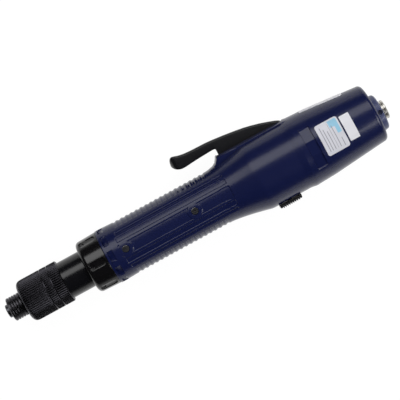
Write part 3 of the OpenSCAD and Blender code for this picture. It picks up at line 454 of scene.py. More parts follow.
def rounded_box(u, v, low_u, high_u, low_v, high_v, corner):
    """Signed distance to a rectangle with rounded corners, negative inside it."""
    du = np.abs(u - (low_u + high_u) / 2) - (high_u - low_u) / 2 + corner
    dv = np.abs(v - (low_v + high_v) / 2) - (high_v - low_v) / 2 + corner
    outside = np.hypot(np.maximum(du, 0), np.maximum(dv, 0))
    return outside + np.minimum(np.maximum(du, dv), 0) - corner


def rib_cut(x, angle, g):
    """Depth of the cross grooves of the grip, in a band of 35 degrees about top and bottom."""
    phase = np.mod((x - GRIP_X) / g["rib_pitch"], 1)
    groove = 1 - ease(np.abs(phase - 0.5), 0.13, 0.36)
    count = np.floor((SWELL_X - GRIP_X) / g["rib_pitch"])
    along = (x > GRIP_X) & (x < GRIP_X + count * g["rib_pitch"])
    band = 1 - ease(np.abs(np.abs(angle - np.pi / 2) - np.pi / 2), np.radians(34), np.radians(36))
    return g["rib_depth"] * groove * along * band


def panel_cut(x, y, g):
    """Depth of the five long panels of a side, round whose screws the surface stays up."""
    start, end, strip = GRIP_X - 2.7, SWELL_X + 9, 0.75
    edges = [g["grip_r"] * np.sin(np.radians(a)) for a in (16, 33.2, 46.5)]
    outline = rounded_box(x, y, start, end, strip - edges[0], edges[0] - strip, 1.3)
    for i in (1, 2):
        low, high = edges[i - 1] + strip, edges[i] - strip
        for sign in (-1, 1):
            bounds = sorted((sign * low, sign * high))
            outline = np.minimum(
                outline, rounded_box(x, y, start + 0.8 * i, end - 0.5 * i, *bounds, 0.8))
    for screw in SCREW_XS:
        outline = np.maximum(outline, 4.7 - np.hypot(x - screw, y))
    return g["panel_depth"] * (1 - ease(outline, -0.3, 0.1))


def window_cut(x, angle):
    """Depth of the windows round the ring, whose floors ramp outwards to the back."""
    start, end = HOUSE_X + 1.7, HOUSE_X + 5.3
    step = np.radians(36)
    off = np.abs(np.mod(angle - np.pi / 2 + step / 2, step) - step / 2)
    inside = ease(x, start - 0.06, start + 0.06) * (1 - ease(x, end - 0.06, end + 0.06))
    inside = inside * (1 - ease(off, np.radians(11.2), np.radians(12.1)))
    ramp = np.clip((x - start) / (end - start), 0, 1)
    return inside * (2.2 - 1.5 * ramp) * (1 - 0.7 * np.minimum(off / np.radians(12), 1) ** 2)


def pocket_radius(x, angle, radius, g):
    """Radius after the shallow pocket on the side, whose floor has three flat facets."""
    start = SHOULDER_X + 4.3
    top, foot = 13.0, -14.5
    y = radius * np.cos(angle)
    floor = np.full_like(radius, 99.0)
    level = g["shoulder_r"] - 1.8
    for y0, z0, y1, z1 in ((top, g["shoulder_r"] - 5.1, 4, level), (4, level, -5, level),
                           (-5, level, foot, g["shoulder_r"] - 6.4)):
        slope = (z1 - z0) / (y1 - y0)
        line = (z0 - slope * y0) / np.maximum(np.sin(angle) - slope * np.cos(angle), 0.1)
        floor = np.minimum(floor, line)
    inside = ease(x, start - 0.1, start + 0.15) * (1 - ease(x, start + 6.75, start + 7.0))
    inside = inside * ease(y, foot - 0.15, foot + 0.25) * (1 - ease(y, top - 0.25, top + 0.15))
    return radius - np.maximum(radius - floor, 0) * inside


def screw_cut(x, y):
    """Depth of the round seats of the grip screws."""
    depth = np.zeros_like(x)
    for screw in SCREW_XS:
        depth += 1.35 * (1 - ease(np.hypot(x - screw, y), 2.1, 2.45))
    return depth


def outer_radius(x, angle, g, pocket):
    """The housing's outer radius at each station and angle, with every detail of its skin."""
    r = plain_radius(x, g)
    boss = boss_radius(x, g)
    on_boss = 1 - ease(np.abs(angle), BOSS_HALF - 0.012, BOSS_HALF + 0.01)
    r = r + np.maximum(boss - r, 0) * on_boss
    y = r * np.cos(angle)
    r = r - np.maximum(rib_cut(x, angle, g) * (boss < g["grip_r"] + 0.2), panel_cut(x, y, g))
    r = r - window_cut(x, angle) - screw_cut(x, y)
    if pocket:
        r = pocket_radius(x, angle, r, g)
    front = HOUSE_X + 0.5 - x
    return r - np.where(front > 0, 0.5 - np.sqrt(np.maximum(0.25 - front**2, 0)), 0)


def inner_radius(x, g):
    """Radius of the hollow of the housing."""
    corners = [[NECK_X, NECK_BORE], [79.6, NECK_BORE], [79.7, GRIP_BORE],
               [SWELL_X - 6, GRIP_BORE]]
    corners += [[SWELL_X + 27 * t, swell(t, g) - WALL] for t in np.linspace(0.1, 1, 8)]
    corners += [[SHOULDER_X - 2, g["body_r"] - WALL], [SHOULDER_X + 14, g["shoulder_r"] - 3.2],
                [HOUSE_END - REAR_WALL, g["tail_r"] - WALL]]
    return np.interp(x, *np.array(corners).T)


def housing_stations(g):
    """Stations of the cross-sections, closer where the skin has detail, with a pair at each
    end of an opening."""
    pitch = g["rib_pitch"]
    runs = [
        np.linspace(HOUSE_X, HOUSE_X + 0.5, 5), np.arange(HOUSE_X + 0.9, HOUSE_X + 1.6, 0.3),
        HOUSE_X + 1.7 + np.array([-0.07, -0.03, 0.0, 0.03, 0.07]),
        np.arange(HOUSE_X + 2.1, HOUSE_X + 5.1, 0.4),
        HOUSE_X + 5.3 + np.array([-0.07, -0.03, 0.0, 0.03, 0.07]),
        np.arange(HOUSE_X + 5.7, GRIP_X, 0.25), np.arange(GRIP_X, SWELL_X + 0.1, pitch / 10),
        np.arange(SWELL_X + 0.4, BOSS_X - 4, 0.5), np.arange(BOSS_X - 4, BOSS_X + 0.7, 0.2),
        np.arange(BOSS_X + 1.5, SHOULDER_X - 5, 1.4),
        np.arange(SHOULDER_X - 5, SHOULDER_X + 4, 0.45),
        np.arange(SHOULDER_X + 4.1, SHOULDER_X + 4.7, 0.1),
        np.arange(SHOULDER_X + 5, SHOULDER_X + 11, 0.6),
        np.arange(SHOULDER_X + 11, SHOULDER_X + 11.5, 0.1),
        np.arange(SHOULDER_X + 12, HOUSE_END - RIM_ROUND, 1.8), [HOUSE_END - RIM_ROUND],
    ]
    pairs = [SLOT_X, SLOT_END, KNOB_X - KNOB_SLOT, KNOB_X + KNOB_SLOT]
    x = np.unique(np.round(np.concatenate([*runs, pairs]), 4))
    return np.sort(np.concatenate([x, pairs]))


def between(x, low, high):
    """Which stations lie in an opening, of each pair at its ends only the inner one."""
    first = np.concatenate([[True], np.diff(x) > 0])
    inside = (x > low) & (x < high)
    return inside | ((x == low) & ~first) | ((x == high) & first)


def half_shell(g, pocket, side):
    """One half of the housing as a closed shell: each cross-section is a loop of the outer
    skin from top to bottom, the parting face, the hollow back to the top and the other
    parting face. Openings for the lever and the knob shorten the loop."""
    fine, coarse = 208, 8
    x = housing_stations(g)
    angle = np.linspace(0, np.pi, fine + 1)[None, :]
    xs = x[:, None]
    r = outer_radius(xs + 0 * angle, angle + 0 * xs, g, pocket)
    inner = inner_radius(xs, g) + 0 * angle[:, ::coarse]
    inner_x = xs + 0 * inner
    # the neck inside the front nut, then the rounded rim and the rear face
    neck_r = span("front_nut", 2)[1] - 1.7
    neck = np.array([[NECK_X, neck_r], [HOUSE_X, neck_r]])
    rim = arc(HOUSE_END - RIM_ROUND, g["tail_r"] - RIM_ROUND, RIM_ROUND, 84, 0, 11)
    rear = np.array([[HOUSE_END, 14.0], [HOUSE_END, 12.0], [HOUSE_END, CAP_BORE]])
    ends = np.concatenate([rim, rear])
    wall_x = HOUSE_END - REAR_WALL
    hollow = np.minimum(ends[:, 1], g["tail_r"] - WALL)
    r = np.concatenate([
        np.repeat(neck[:, 1:], fine + 1, 1), r, np.repeat(ends[:, 1:], fine + 1, 1)])
    all_x = np.concatenate([neck[:, 0], x, ends[:, 0]])
    inner = np.concatenate([
        np.full((2, inner.shape[1]), NECK_BORE), inner,
        np.repeat(hollow[:, None], inner.shape[1], 1)])
    inner_x = np.concatenate([
        np.repeat(neck[:, :1], inner.shape[1], 1), inner_x,
        np.full((len(ends), inner.shape[1]), wall_x)])
    lever_slot = np.pad(between(x, SLOT_X, SLOT_END), (2, len(ends)))[:, None]
    knob_slot = np.pad(between(x, KNOB_X - KNOB_SLOT, KNOB_X + KNOB_SLOT), (2, len(ends)))[:, None]

    def clipped(radius, angles):
        """Angles held clear of the lever's slot and the knob's slot."""
        low = np.where(lever_slot, np.arcsin(SLOT_HALF / radius), 0)
        high = np.where(knob_slot, np.pi - np.arcsin(KNOB_SLOT_HALF / radius), np.pi)
        return np.clip(angles, low, high)

    out_a = clipped(r, angle + 0 * r)
    in_a = clipped(inner, angle[:, ::coarse] + 0 * inner)
    outer = np.stack([all_x[:, None] + 0 * r, r * np.cos(out_a), r * np.sin(out_a)], -1)
    back = np.stack([inner_x, inner * np.cos(in_a), inner * np.sin(in_a)], -1)[:, ::-1]
    loops = np.concatenate([outer, back], axis=1)
    rows, columns = loops.shape[:2]
    quads = grid_faces(rows, columns, close_columns=True)
    caps = []
    for row, flip in ((0, False), (rows - 1, True)):
        j = np.arange(fine)
        m = np.arange(inner.shape[1] - 1)
        facing = fine + 1 + (inner.shape[1] - 1 - j // coarse)
        fan = np.stack([j, j + 1, facing], -1)
        close = np.stack([(m + 1) * coarse, columns - 2 - m, columns - 1 - m], -1)
        tris = np.concatenate([fan, close]) + row * columns
        caps.append(tris[:, ::-1] if not flip else tris)
    points = loops.reshape(-1, 3)
    if side < 0:
        points = points * [1, 1, -1]
    return closed_solid(points, [quads, *caps])


def pivot_boss(side):
    """The boss inside a shell that carries the lever's pin, a short disc with a chamfer."""
    turns = full_turn(40)
    deep, near = SLOT_HALF + 0.01, SLOT_HALF + 2.0
    ring = np.array([[near, 0.0], [near, 2.4], [near - 0.3, 2.7], [deep, 2.7], [deep, 0.0]])
    z = np.repeat(ring[:, :1], len(turns), 1) * side
    points = np.stack([LEVER_PIN_X + ring[:, 1:] * np.cos(turns),
                       LEVER_PIN_Y + ring[:, 1:] * np.sin(turns), z], -1)
    return closed_solid(points.reshape(-1, 3),
                        [grid_faces(len(ring), len(turns), close_columns=True)])


class SCREWDRIVER_OT_housing(bpy.types.Operator):
    """The two moulded shells with their ribs, panels, windows and side pocket"""

    bl_idname = "screwdriver.housing"
    bl_label = "Housing shells"

    def execute(self, context):
        g = sizes()
        plastic = moulded_abs("moulded_navy_abs", tint("housing"))
        for name, pocket, side in (("left_shell", True, 1), ("right_shell", False, -1)):
            solid = together(half_shell(g, pocket, side), pivot_boss(side))
            put(name + "_skin", solid, "housing", plastic, (name,), sharp=38)
        return {"FINISHED"}


def screw_head(x, side, level):
    """A cross-head screw facing outwards along Z: a low dome with a cross recess whose arms
    are 0.7 wide and 2.8 long and deepen towards the middle."""
    reach = np.concatenate([[0.0], np.linspace(0.12, 2.0, 17), [2.2, SCREW_HEAD_R, SCREW_HEAD_R]])
    turns = full_turn(96)
    px, py = reach[:, None] * np.cos(turns), reach[:, None] * np.sin(turns)
    height = level + 0.25 * (1 - (reach[:, None] / SCREW_HEAD_R) ** 2) + 0 * px
    arm = np.minimum(np.maximum(np.abs(px) - 1.4, np.abs(py) - 0.36),
                     np.maximum(np.abs(py) - 1.4, np.abs(px) - 0.36))
    height -= 0.8 * (1 - ease(arm, -0.1, 0.06)) * (1.1 - reach[:, None] / SCREW_HEAD_R)
    height[-1] = level - 0.9
    points = np.stack([x + px, py, side * height], -1)
    floor = np.array([[[x, 0, side * (level - 0.9)]] * len(turns)])
    points = np.concatenate([points, floor]).reshape(-1, 3)
    return closed_solid(points, [grid_faces(len(reach) + 1, len(turns), close_columns=True)])


class SCREWDRIVER_OT_screws(bpy.types.Operator):
    """The cross-head grip screws, two on each side"""

    bl_idname = "screwdriver.screws"
    bl_label = "Grip screws"

    def execute(self, context):
        steel = turned_steel("blackened_screw_steel", linear("#8a8a90"), 0.3)
        level = sizes()["grip_r"] - 0.75
        heads = [screw_head(x, side, level) for x in SCREW_XS for side in (1, -1)]
        solid = together(merged_copy("grip_screws"), *heads)
        put("grip_screw_set", solid, "housing", steel,
            ("grip_screws",), sharp=25)
        return {"FINISHED"}


# ---------------------------------------------------------------- front end


def front_nut():
    """The front nut: a turned ring with a rounded front edge, six hollow spanner pockets cut
    a millimetre deep and a round hole at the front of each."""
    top = span("front_nut", 2)[1]
    front_r = top - 0.4
    outer = np.concatenate([
        arc(NUT_X + 3, front_r - 3, 3, 180, 96, 10),
        np.stack([np.arange(NUT_X + 3.1, HOUSE_X - 0.6, 0.16)] * 2, -1),
        [[HOUSE_X - 0.4, top], [HOUSE_X - 0.15, top - 0.1], [HOUSE_X - 0.05, top - 0.35]],
    ])
    plain = slice(10, len(outer) - 3)
    outer[plain, 1] = np.interp(outer[plain, 0], [NUT_X + 3, HOUSE_X - 0.4], [front_r, top])
    turns = full_turn(576)
    x, r = outer[:, :1], outer[:, 1:] + 0 * turns
    off = np.mod(turns - np.pi / 2 + np.pi / 6, np.pi / 3) - np.pi / 6
    side = top * np.sin(off)
    pocket = rounded_box(x, side, NUT_X + 2.4, HOUSE_X - 1.2, -2.9, 2.9, 2.2)
    floor = top - 1.15 * (1 - 0.5 * np.minimum(np.abs(side) / 2.9, 1) ** 2) + 0 * r
    r = r - np.maximum(r - floor, 0) * (1 - ease(pocket, -0.2, 0.02))
    hole = np.hypot(x - NUT_X - 4.4, side)
    r = r - 0.4 * (1 - ease(hole, 1.3, 1.55))
    bore = np.array([
        [HOUSE_X - 0.05, top - 1.65], [NECK_X - 0.02, top - 1.65], [NECK_X - 0.02, 14.95],
        [NUT_X + 2, 14.95], [NUT_X + 2, 12.35], [NUT_X, 12.35],
    ])
    stations = np.concatenate([outer[:, 0], bore[:, 0]])
    radii = np.concatenate([r, np.repeat(bore[:, 1:], len(turns), 1)])
    return lathe(stations, radii, turns)


def torque_sleeve(g):
    """The knurled sleeve: 60 straight ridges whose height is a raised cosine of the angle,
    run out on the domed front and broken by two plain grooves."""
    count, per_ridge = 60, 9
    turns = full_turn(count * per_ridge)
    dome = arc(SLEEVE_X + 3.6, g["sleeve_r"] - 3.7, 3.6, 172, 92, 12)
    groove = np.array([[-0.34, 0.0], [-0.27, -GROOVE_DEPTH], [0.27, -GROOVE_DEPTH], [0.34, 0.0]])
    bands = [SLEEVE_END - 12, SLEEVE_END - 7]
    outline = [dome] + [groove + [band, g["sleeve_r"]] for band in bands]
    end = np.array([[-0.5, 0.0], [-0.35, -0.3], [0.0, -0.65]])
    outline.append(end + [SLEEVE_END, g["sleeve_r"]])
    outer = np.concatenate(outline)
    outer = np.insert(outer, len(dome), [[SLEEVE_X + 4.4, g["sleeve_r"]]], axis=0)
    ridge = (0.5 - 0.5 * np.cos(count * turns)) ** 1.3
    depth = g["knurl_h"] * ease(outer[:, 0], SLEEVE_X + 0.4, SLEEVE_X + 3.4)
    depth = depth * (outer[:, 0] < SLEEVE_END - 0.4)
    depth = depth * (np.abs(outer[:, 1] - g["sleeve_r"] + GROOVE_DEPTH) > 1e-6)
    r = outer[:, 1:] - depth[:, None] * ridge
    bore = np.array([
        [SLEEVE_END, TUBE_BORE], [THREAD_END, TUBE_BORE], [THREAD_END, THREAD_BORE],
        [SLEEVE_X + 2, THREAD_BORE], [SLEEVE_X + 2, LIP_BORE], [SLEEVE_X, LIP_BORE],
    ])
    stations = np.concatenate([outer[:, 0], bore[:, 0]])
    return lathe(stations, np.concatenate([r, np.repeat(bore[:, 1:], len(turns), 1)]), turns)


def bit_collar():
    """The collar: a turned ring with four finger grooves and chamfered ends."""
    top = span("bit_collar", 2)[1]
    pitch = (COLLAR_END - COLLAR_X - 0.6) / 5
    cut = np.array([[-0.5, 0], [-0.38, -0.06], [-0.2, -0.5], [0, -0.58], [0.2, -0.5],
                    [0.38, -0.06], [0.5, 0]])
    outline = [[[COLLAR_X, 5.35], [COLLAR_X, top - 0.7], [COLLAR_X + 0.25, top - 0.25],
                [COLLAR_X + 0.6, top]]]
    outline += [cut + [COLLAR_X + 0.3 + k * pitch, top] for k in range(1, 5)]
    outline += [[[COLLAR_END - 0.4, top], [COLLAR_END - 0.1, top - 0.15], [COLLAR_END, top - 0.4],
                 [COLLAR_END, 6.2], [COLLAR_X + 4.9, 6.2], [COLLAR_X + 4.9, 4.48],
                 [COLLAR_X + 1.45, 4.48], [COLLAR_X + 1.45, 5.35]]]
    points = np.concatenate([np.array(part, float) for part in outline])
    return lathe(points[:, 0], points[:, 1], full_turn(144))


class SCREWDRIVER_OT_front_end(bpy.types.Operator):
    """The front nut, the clutch tube, the knurled torque sleeve, the collar and the spindle"""

    bl_idname = "screwdriver.front_end"
    bl_label = "Nut, sleeve, collar and spindle"

    def execute(self, context):
        g = sizes()
        put("front_nut_ring", front_nut(), "housing",
            glass_filled_nylon("glass_filled_nylon", tint("nut")), ("front_nut",), sharp=40)
        put("clutch_tube_skin", merged_copy("clutch_tube"), "housing",
            black_enamel("stoved_black_enamel", tint("tube")), ("clutch_tube",), sharp=25)
        black = turned_steel("blackened_knurled_steel", tint("sleeve"), 0.33)
        put("knurled_sleeve", torque_sleeve(g), "sleeve", black,
            ("torque_sleeve",), sharp=50)
        ring = turned_steel("blackened_turned_steel", linear("#4b4a4e"), 0.36)
        put("grooved_collar", bit_collar(), "collar", ring, ("bit_collar",))
        bright = turned_steel("ground_dark_steel", linear("#5a5b60"), 0.34)
        put("spindle_turned", merged_copy("spindle"), "output_spindle", bright,
            ("spindle",), sharp=25)
        return {"FINISHED"}


# ---------------------------------------------------------------- lever and knob


def lever_curves():
    """Stations of the lever from its tip to its pin, with the heights of its back and its
    underside: a bulb, a thin waist and a web that drops into the slot."""
    tip, top = LEVER_X0, LEVER_PIN_Y + 14
    back = np.array([
        [0, -2.9], [0.3, -0.6], [0.9, 1.0], [1.7, 2.0], [2.8, 2.45], [4.4, 2.1], [7, 1.25],
        [10.5, 0.6], [15, 0.25], [20, 0.12], [26, 0], [31, -0.4], [38, -1.15], [46, -2.2],
        [52, -3.15], [57, -4.25], [62, -5.55], [67, -7.15], [70.9, -8.5], [73.3, -9.6],
        [74.4, -10.6], [74.7, -12.4],
    ])
    under = np.array([
        [0, -2.9], [0.5, -4.3], [1.4, -5.4], [2.6, -6.3], [4.2, -7.0], [5.8, -7.35],
        [7.6, -7.4], [9.8, -7.25], [13, -6.95], [18, -6.6], [24, -6.3], [28.7, -6.1],
        [29.9, -6.6], [29.91, -14.4], [32.7, -15.4], [45, -15.9], [65.3, -16.6], [68.4, -17.8],
        [70.3, -18.0], [72.9, -17.0], [74.2, -14.8], [74.7, -12.4],
    ])
    x = np.unique(np.concatenate([
        0.3 * (1 - np.cos(np.linspace(0, np.pi / 2, 6))) / 0.3, np.arange(1, 12, 0.35),
        np.arange(12, 70, 1.0), np.arange(70, 74.7, 0.3), [29.9, 29.91, 74.7]]))

    def smooth(curve):
        """A curve averaged over half a millimetre to each side, and the same curve as drawn."""
        fine = np.arange(-2, 77, 0.02)
        y = np.interp(fine, *curve.T)
        window = np.hanning(51)
        soft = np.convolve(np.pad(y, 25, mode="edge"), window / window.sum(), mode="valid")
        return np.interp(x, fine, soft), np.interp(x, *curve.T)

    high, high_raw = smooth(back)
    low, low_raw = smooth(under)
    keep = (x < 1.0) | (x > 73.4)
    high = np.where(keep, high_raw, high)
    low = np.where(keep | (np.abs(x - 29.9) < 1.5), low_raw, low)
    return tip + x, top + high, top + low


def lever(g):
    """The start lever as a loft of rounded rectangles along X, narrowing to a half ellipse in
    plan at its tip, with the finger that presses the switch."""
    x, high, low = lever_curves()
    half = g["lever_w"] / 2
    reach = np.clip((LEVER_X0 + 4.5 - x) / 4.5, 0, 1)
    width = (half + 0.45 * (1 - ease(x, LEVER_X0 + 6, LEVER_X0 + 16))) * np.sqrt(1 - reach**2)
    width = np.maximum(width, 0.01)
    mid, tall = (high + low) / 2, np.maximum((high - low) / 2, 0.005)
    corner = np.minimum(np.minimum(1.3, width * 0.8), tall * 0.8)[:, None]
    a = np.radians(np.linspace(0, 90, 7))
    a = np.concatenate([a, a + np.pi / 2, a + np.pi, a + 1.5 * np.pi])
    side = np.repeat([1, -1, -1, 1], 7)
    rise = np.repeat([1, 1, -1, -1], 7)
    z = side * (width[:, None] - corner) + corner * np.cos(a)
    y = mid[:, None] + rise * (tall[:, None] - corner) + corner * np.sin(a)
    points = np.stack([np.repeat(x[:, None], len(a), 1), y, z], -1)
    rows = len(x)
    centre = np.stack([[x[0], mid[0], 0], [x[-1], mid[-1], 0]])
    points = np.concatenate([np.repeat(centre[:1], len(a), 0), points.reshape(-1, 3),
                             np.repeat(centre[1:], len(a), 0)])
    body = closed_solid(points, [grid_faces(rows + 2, len(a), close_columns=True)])
    return together(body, finger())


def finger():
    """The finger under the lever: a block with rounded corners in plan."""
    foot = span("switch_plunger", 1)[1] + 0.3
    centre = sum(span("switch_plunger")) / 2
    a = full_turn(24)
    ring_x = centre + 2 * np.sign(np.cos(a)) * np.abs(np.cos(a)) ** 0.35
    ring_z = 2 * np.sign(np.sin(a)) * np.abs(np.sin(a)) ** 0.35
    heights = np.array([foot, foot, foot + 0.3, LEVER_PIN_Y - 1, LEVER_PIN_Y - 1])
    shares = np.array([0, 0.85, 1, 1, 0])[:, None]
    points = np.stack([centre + (ring_x - centre) * shares,
                       np.repeat(heights[:, None], len(a), 1), ring_z * shares], -1)
    return closed_solid(points.reshape(-1, 3), [grid_faces(5, len(a), close_columns=True)])


def direction_knob(g):
    """The knob: a ridged profile along X carried round the housing through 24 degrees, low at
    its two sides, with the stem that reaches the selector."""
    floor_r, top = g["body_r"] + 0.3, g["body_r"] + 3.2
    x0, x1, ridges = KNOB_X0, KNOB_X1, 9
    pitch = (x1 - x0 - 3) / ridges
    x = np.arange(x0 + 1.2, x1 - 1.2, 0.12)
    wave = 0.5 - 0.5 * np.cos(2 * np.pi * (x - x0 - 1.5) / pitch)
    crest = top - 0.95 * (1 - wave) ** 1.6
    loop_x = np.concatenate([[x0, x0, x0 + 0.2, x0 + 0.7], x, [x1 - 0.7, x1 - 0.2, x1, x1]])
    loop_r = np.concatenate([[floor_r, top - 1.3, top - 0.7, top - 0.4], crest,
                             [top - 0.4, top - 0.7, top - 1.3, floor_r]])
    share = np.linspace(-1, 1, 33)
    turn = np.pi + np.radians(12) * share
    low = 0.9 * ease(np.abs(share), 0.82, 1.0) ** 2
    r = np.maximum(loop_r[:, None] - low * (loop_r[:, None] > floor_r + 0.5), floor_r)
    xs = np.repeat(loop_x[:, None], len(turn), 1)
    points = np.stack([xs, r * np.cos(turn), r * np.sin(turn)], -1)
    rows, columns = len(loop_x), len(turn)
    quads = grid_faces(rows, columns, close_rows=True)
    ends = []
    for column, step in ((0, 1), (columns - 1, -1)):
        i = np.arange(1, rows - 1)
        ends.append(np.stack([0 * i, i, i + 1], -1)[:-1, ::step] * columns + column)
    body = closed_solid(points.reshape(-1, 3), [quads, *ends])
    return together(body, stem())


def stem():
    """The knob's stem: a rounded bar down to the selector."""
    foot = span("direction_switch", 1)[0] - 0.3
    a = full_turn(24)
    ring_x = KNOB_X + 1.6 * np.sign(np.cos(a)) * np.abs(np.cos(a)) ** 0.3
    ring_z = 3.0 * np.sign(np.sin(a)) * np.abs(np.sin(a)) ** 0.3
    heights = np.array([-23.6, -23.6, foot, foot])
    shares = np.array([0, 1, 1, 0])[:, None]
    points = np.stack([KNOB_X + (ring_x - KNOB_X) * shares,
                       np.repeat(heights[:, None], len(a), 1), ring_z * shares], -1)
    return closed_solid(points.reshape(-1, 3), [grid_faces(4, len(a), close_columns=True)])


class SCREWDRIVER_OT_controls(bpy.types.Operator):
    """The start lever and the direction knob"""

    bl_idname = "screwdriver.controls"
    bl_label = "Lever and direction knob"

    def execute(self, context):
        g = sizes()
        black = moulded_abs("moulded_black_abs", tint("lever"), 0.3)
        put("start_lever_body", lever(g), "start_lever", black, ("lever",),
            sharp=45)
        put("ridged_knob", direction_knob(g), "knob", black,
            ("direction_knob",), sharp=40)
        return {"FINISHED"}


# ---------------------------------------------------------------- rear end


class SCREWDRIVER_OT_rear_end(bpy.types.Operator):
    """The rear cap and the supply connector"""

    bl_idname = "screwdriver.rear_end"
    bl_label = "Cap and connector"

    def execute(self, context):
        cap = put("rear_cap_moulding", merged_copy("rear_cap"), "housing",
                  moulded_abs("moulded_grey_blue_abs", tint("cap"), 0.34), ("rear_cap",), sharp=25)
        edge = cap.modifiers.new("soft_edges", "BEVEL")
        edge.width, edge.segments, edge.limit_method = 0.25 * MM, 2, "ANGLE"
        edge.angle_limit = np.radians(40)
        put("connector_ring", merged_copy("connector_shell"), "housing",
            plated("nickel_plate", tint("nickel"), 0.36), ("connector_shell",), sharp=25)
        put("connector_core", merged_copy("connector_insert"), "housing",
            moulded_abs("black_thermoplastic", linear("#141417"), 0.4), ("connector_insert",),
            sharp=25)
        put("connector_pins", merged_copy("connector_contacts"), "housing",
            plated("gold_plate", linear("#d2a544"), 0.18), ("connector_contacts",), sharp=25)
        return {"FINISHED"}


# ---------------------------------------------------------------- labels


def film(g, x0, x1, low, high, lift, corner, around=np.pi / 2, cells=(40, 56)):
    """A thin film on the tapered body: a rectangle in station x and in arc length round the
    body, pulled in at its corners, and lifted by its own thickness. around is the angle of
    its middle, and low and high are arc lengths from there towards +Y."""
    u = np.linspace(-1, 1, cells[0])[:, None]
    v = np.linspace(-1, 1, cells[1])[None, :]
    half_x, half_v = (x1 - x0) / 2, (high - low) / 2
    # near a corner the grid slides in along the rounding's quarter circle
    du = np.maximum(np.abs(u) * half_x - half_x + corner, 0) / corner
    dv = np.maximum(np.abs(v) * half_v - half_v + corner, 0) / corner
    reach = np.hypot(du, dv)
    pull = np.where(reach > 0, np.maximum(du, dv) / np.maximum(reach, 1e-9), 1)
    su = (np.abs(u) * half_x - du * corner * (1 - pull)) * np.sign(u)
    sv = (np.abs(v) * half_v - dv * corner * (1 - pull)) * np.sign(v)
    x = (x0 + x1) / 2 + su
    s = (low + high) / 2 + sv
    r0 = plain_radius(x, g)
    a = around - s / r0
    layers = []
    for height in (0.0, lift):
        r = r0 + height
        layers.append(np.stack([x, r * np.cos(a), r * np.sin(a)], -1).reshape(-1, 3))
    rows, columns = cells
    face = grid_faces(rows, columns)
    index = np.arange(rows * columns).reshape(rows, columns)
    ring = np.concatenate([index[0, :-1], index[:-1, -1], index[-1, :0:-1], index[:0:-1, 0]])
    count = rows * columns
    wall = np.stack([ring, np.roll(ring, -1), np.roll(ring, -1) + count, ring + count], -1)
    points = np.concatenate(layers)
    faces = [face + count, face[:, ::-1], wall[:, ::-1]]
    if signed_volume(points, faces) < 0:
        faces = [f[:, ::-1] for f in faces]
    return points, faces, (rows - 1, columns - 1)


def print_areas(faces, cells, boxes):
    """Material index of each face: 0 for bare film, and a box's own index where it prints.
    A box is (index, low u, high u, low v, high v) in shares of the film's length and width."""
    u = (np.arange(cells[0]) + 0.5)[:, None] / cells[0]
    v = (np.arange(cells[1]) + 0.5)[None, :] / cells[1]
    areas = np.zeros(cells, int)
    for index, u0, u1, v0, v1 in boxes:
        areas[(u > u0) & (u < u1) & (v > v0) & (v < v1)] = index
    rest = sum(len(f) for f in faces) - areas.size
    return np.concatenate([areas.ravel(), np.zeros(rest, int)])


class SCREWDRIVER_OT_labels(bpy.types.Operator):
    """The rating label and the two stickers, with generic rules and blocks and no lettering"""

    bl_idname = "screwdriver.labels"
    bl_label = "Labels"

    def execute(self, context):
        g = sizes()
        foil = printed_film("silvered_polyester_film", tint("foil"), 0.38)
        paper = printed_film("white_vinyl_film", tint("paper"), 0.45)
        grey = printed_film("printed_grey_ink", linear("#8e8e99"), 0.5)
        blue = printed_film("printed_pale_blue_ink", linear("#8fc3dd"), 0.5)
        thick = 0.12
        points, faces, cells = film(g, *LABEL_X, -10.6, 10.8, thick, 1.5, cells=(64, 88))
        boxes = [(2, 0.55, 0.94, 0.73, 0.95), (2, 0.76, 0.94, 0.50, 0.73)]
        for k in range(5):
            at = 0.14 + 0.12 * k
            boxes.append((1, at, at + 0.03, 0.12, 0.88 - 0.09 * (k % 3)))
        boxes.append((1, 0.80, 0.83, 0.08, 0.36))
        put("rating_label", (points, faces), "housing", [foil, grey, blue],
            areas=print_areas(faces, cells, boxes), sharp=60)
        points, faces, cells = film(g, *STICKER_X, -8.4, 8.9, thick, 0.3, cells=(24, 56))
        put("side_sticker", (points, faces), "housing", [paper], sharp=60)
        points, faces, cells = film(g, *TOP_STICKER_X, -7, 7, thick, 1.0, around=0.0)
        put("top_sticker", (points, faces), "housing", [paper], sharp=60)
        return {"FINISHED"}


# ---------------------------------------------------------------- inner pieces

INNER_FINISHES = (
    ("spring_steel_wire", turned_steel, "#9a9ca0",
     ("collar_spring", "clutch_spring", "lever_spring", "collar_ring")),
    ("ground_bearing_steel", turned_steel, "#b9bbc0",
     ("bit_balls", "clutch_balls", "planet_pins", "spindle_bearing", "motor_bearings",
      "rotor_shaft", "lever_pin")),
    ("hardened_gear_steel", turned_steel, "#6f7175",
     ("thrust_ring", "clutch_plate", "planet_carrier", "planet_gear_1", "planet_gear_2",
      "planet_gear_3", "sun_gear", "ring_gear")),
    ("cast_zinc_alloy", turned_steel, "#9a9ca1", ("motor_front_mount", "motor_back_mount")),
    ("drawn_steel_can", turned_steel, "#6c6f75", ("motor_can", "stator_core")),
    ("sintered_magnet", turned_steel, "#3c3d42", ("rotor_magnet",)),
    ("enamelled_copper", plated, "#b5622d", ("stator_coils",)),
    ("glass_epoxy_board", black_enamel, "#1d6040", ("hall_board", "control_board")),
    ("chip_epoxy", moulded_abs, "#1a1a1d",
     ("board_chips", "direction_switch", "start_switch")),
    ("capacitor_film", printed_film, "#2a3350", ("board_capacitors",)),
    ("pvc_lead_jacket", moulded_abs, "#8c2f2a", ("motor_leads", "switch_plunger")),
    ("pvc_supply_jacket", moulded_abs, "#3a3a3f", ("supply_leads",)),
    ("nickel_plated_nut", plated, "#a9abb0", ("connector_nut",)),
)


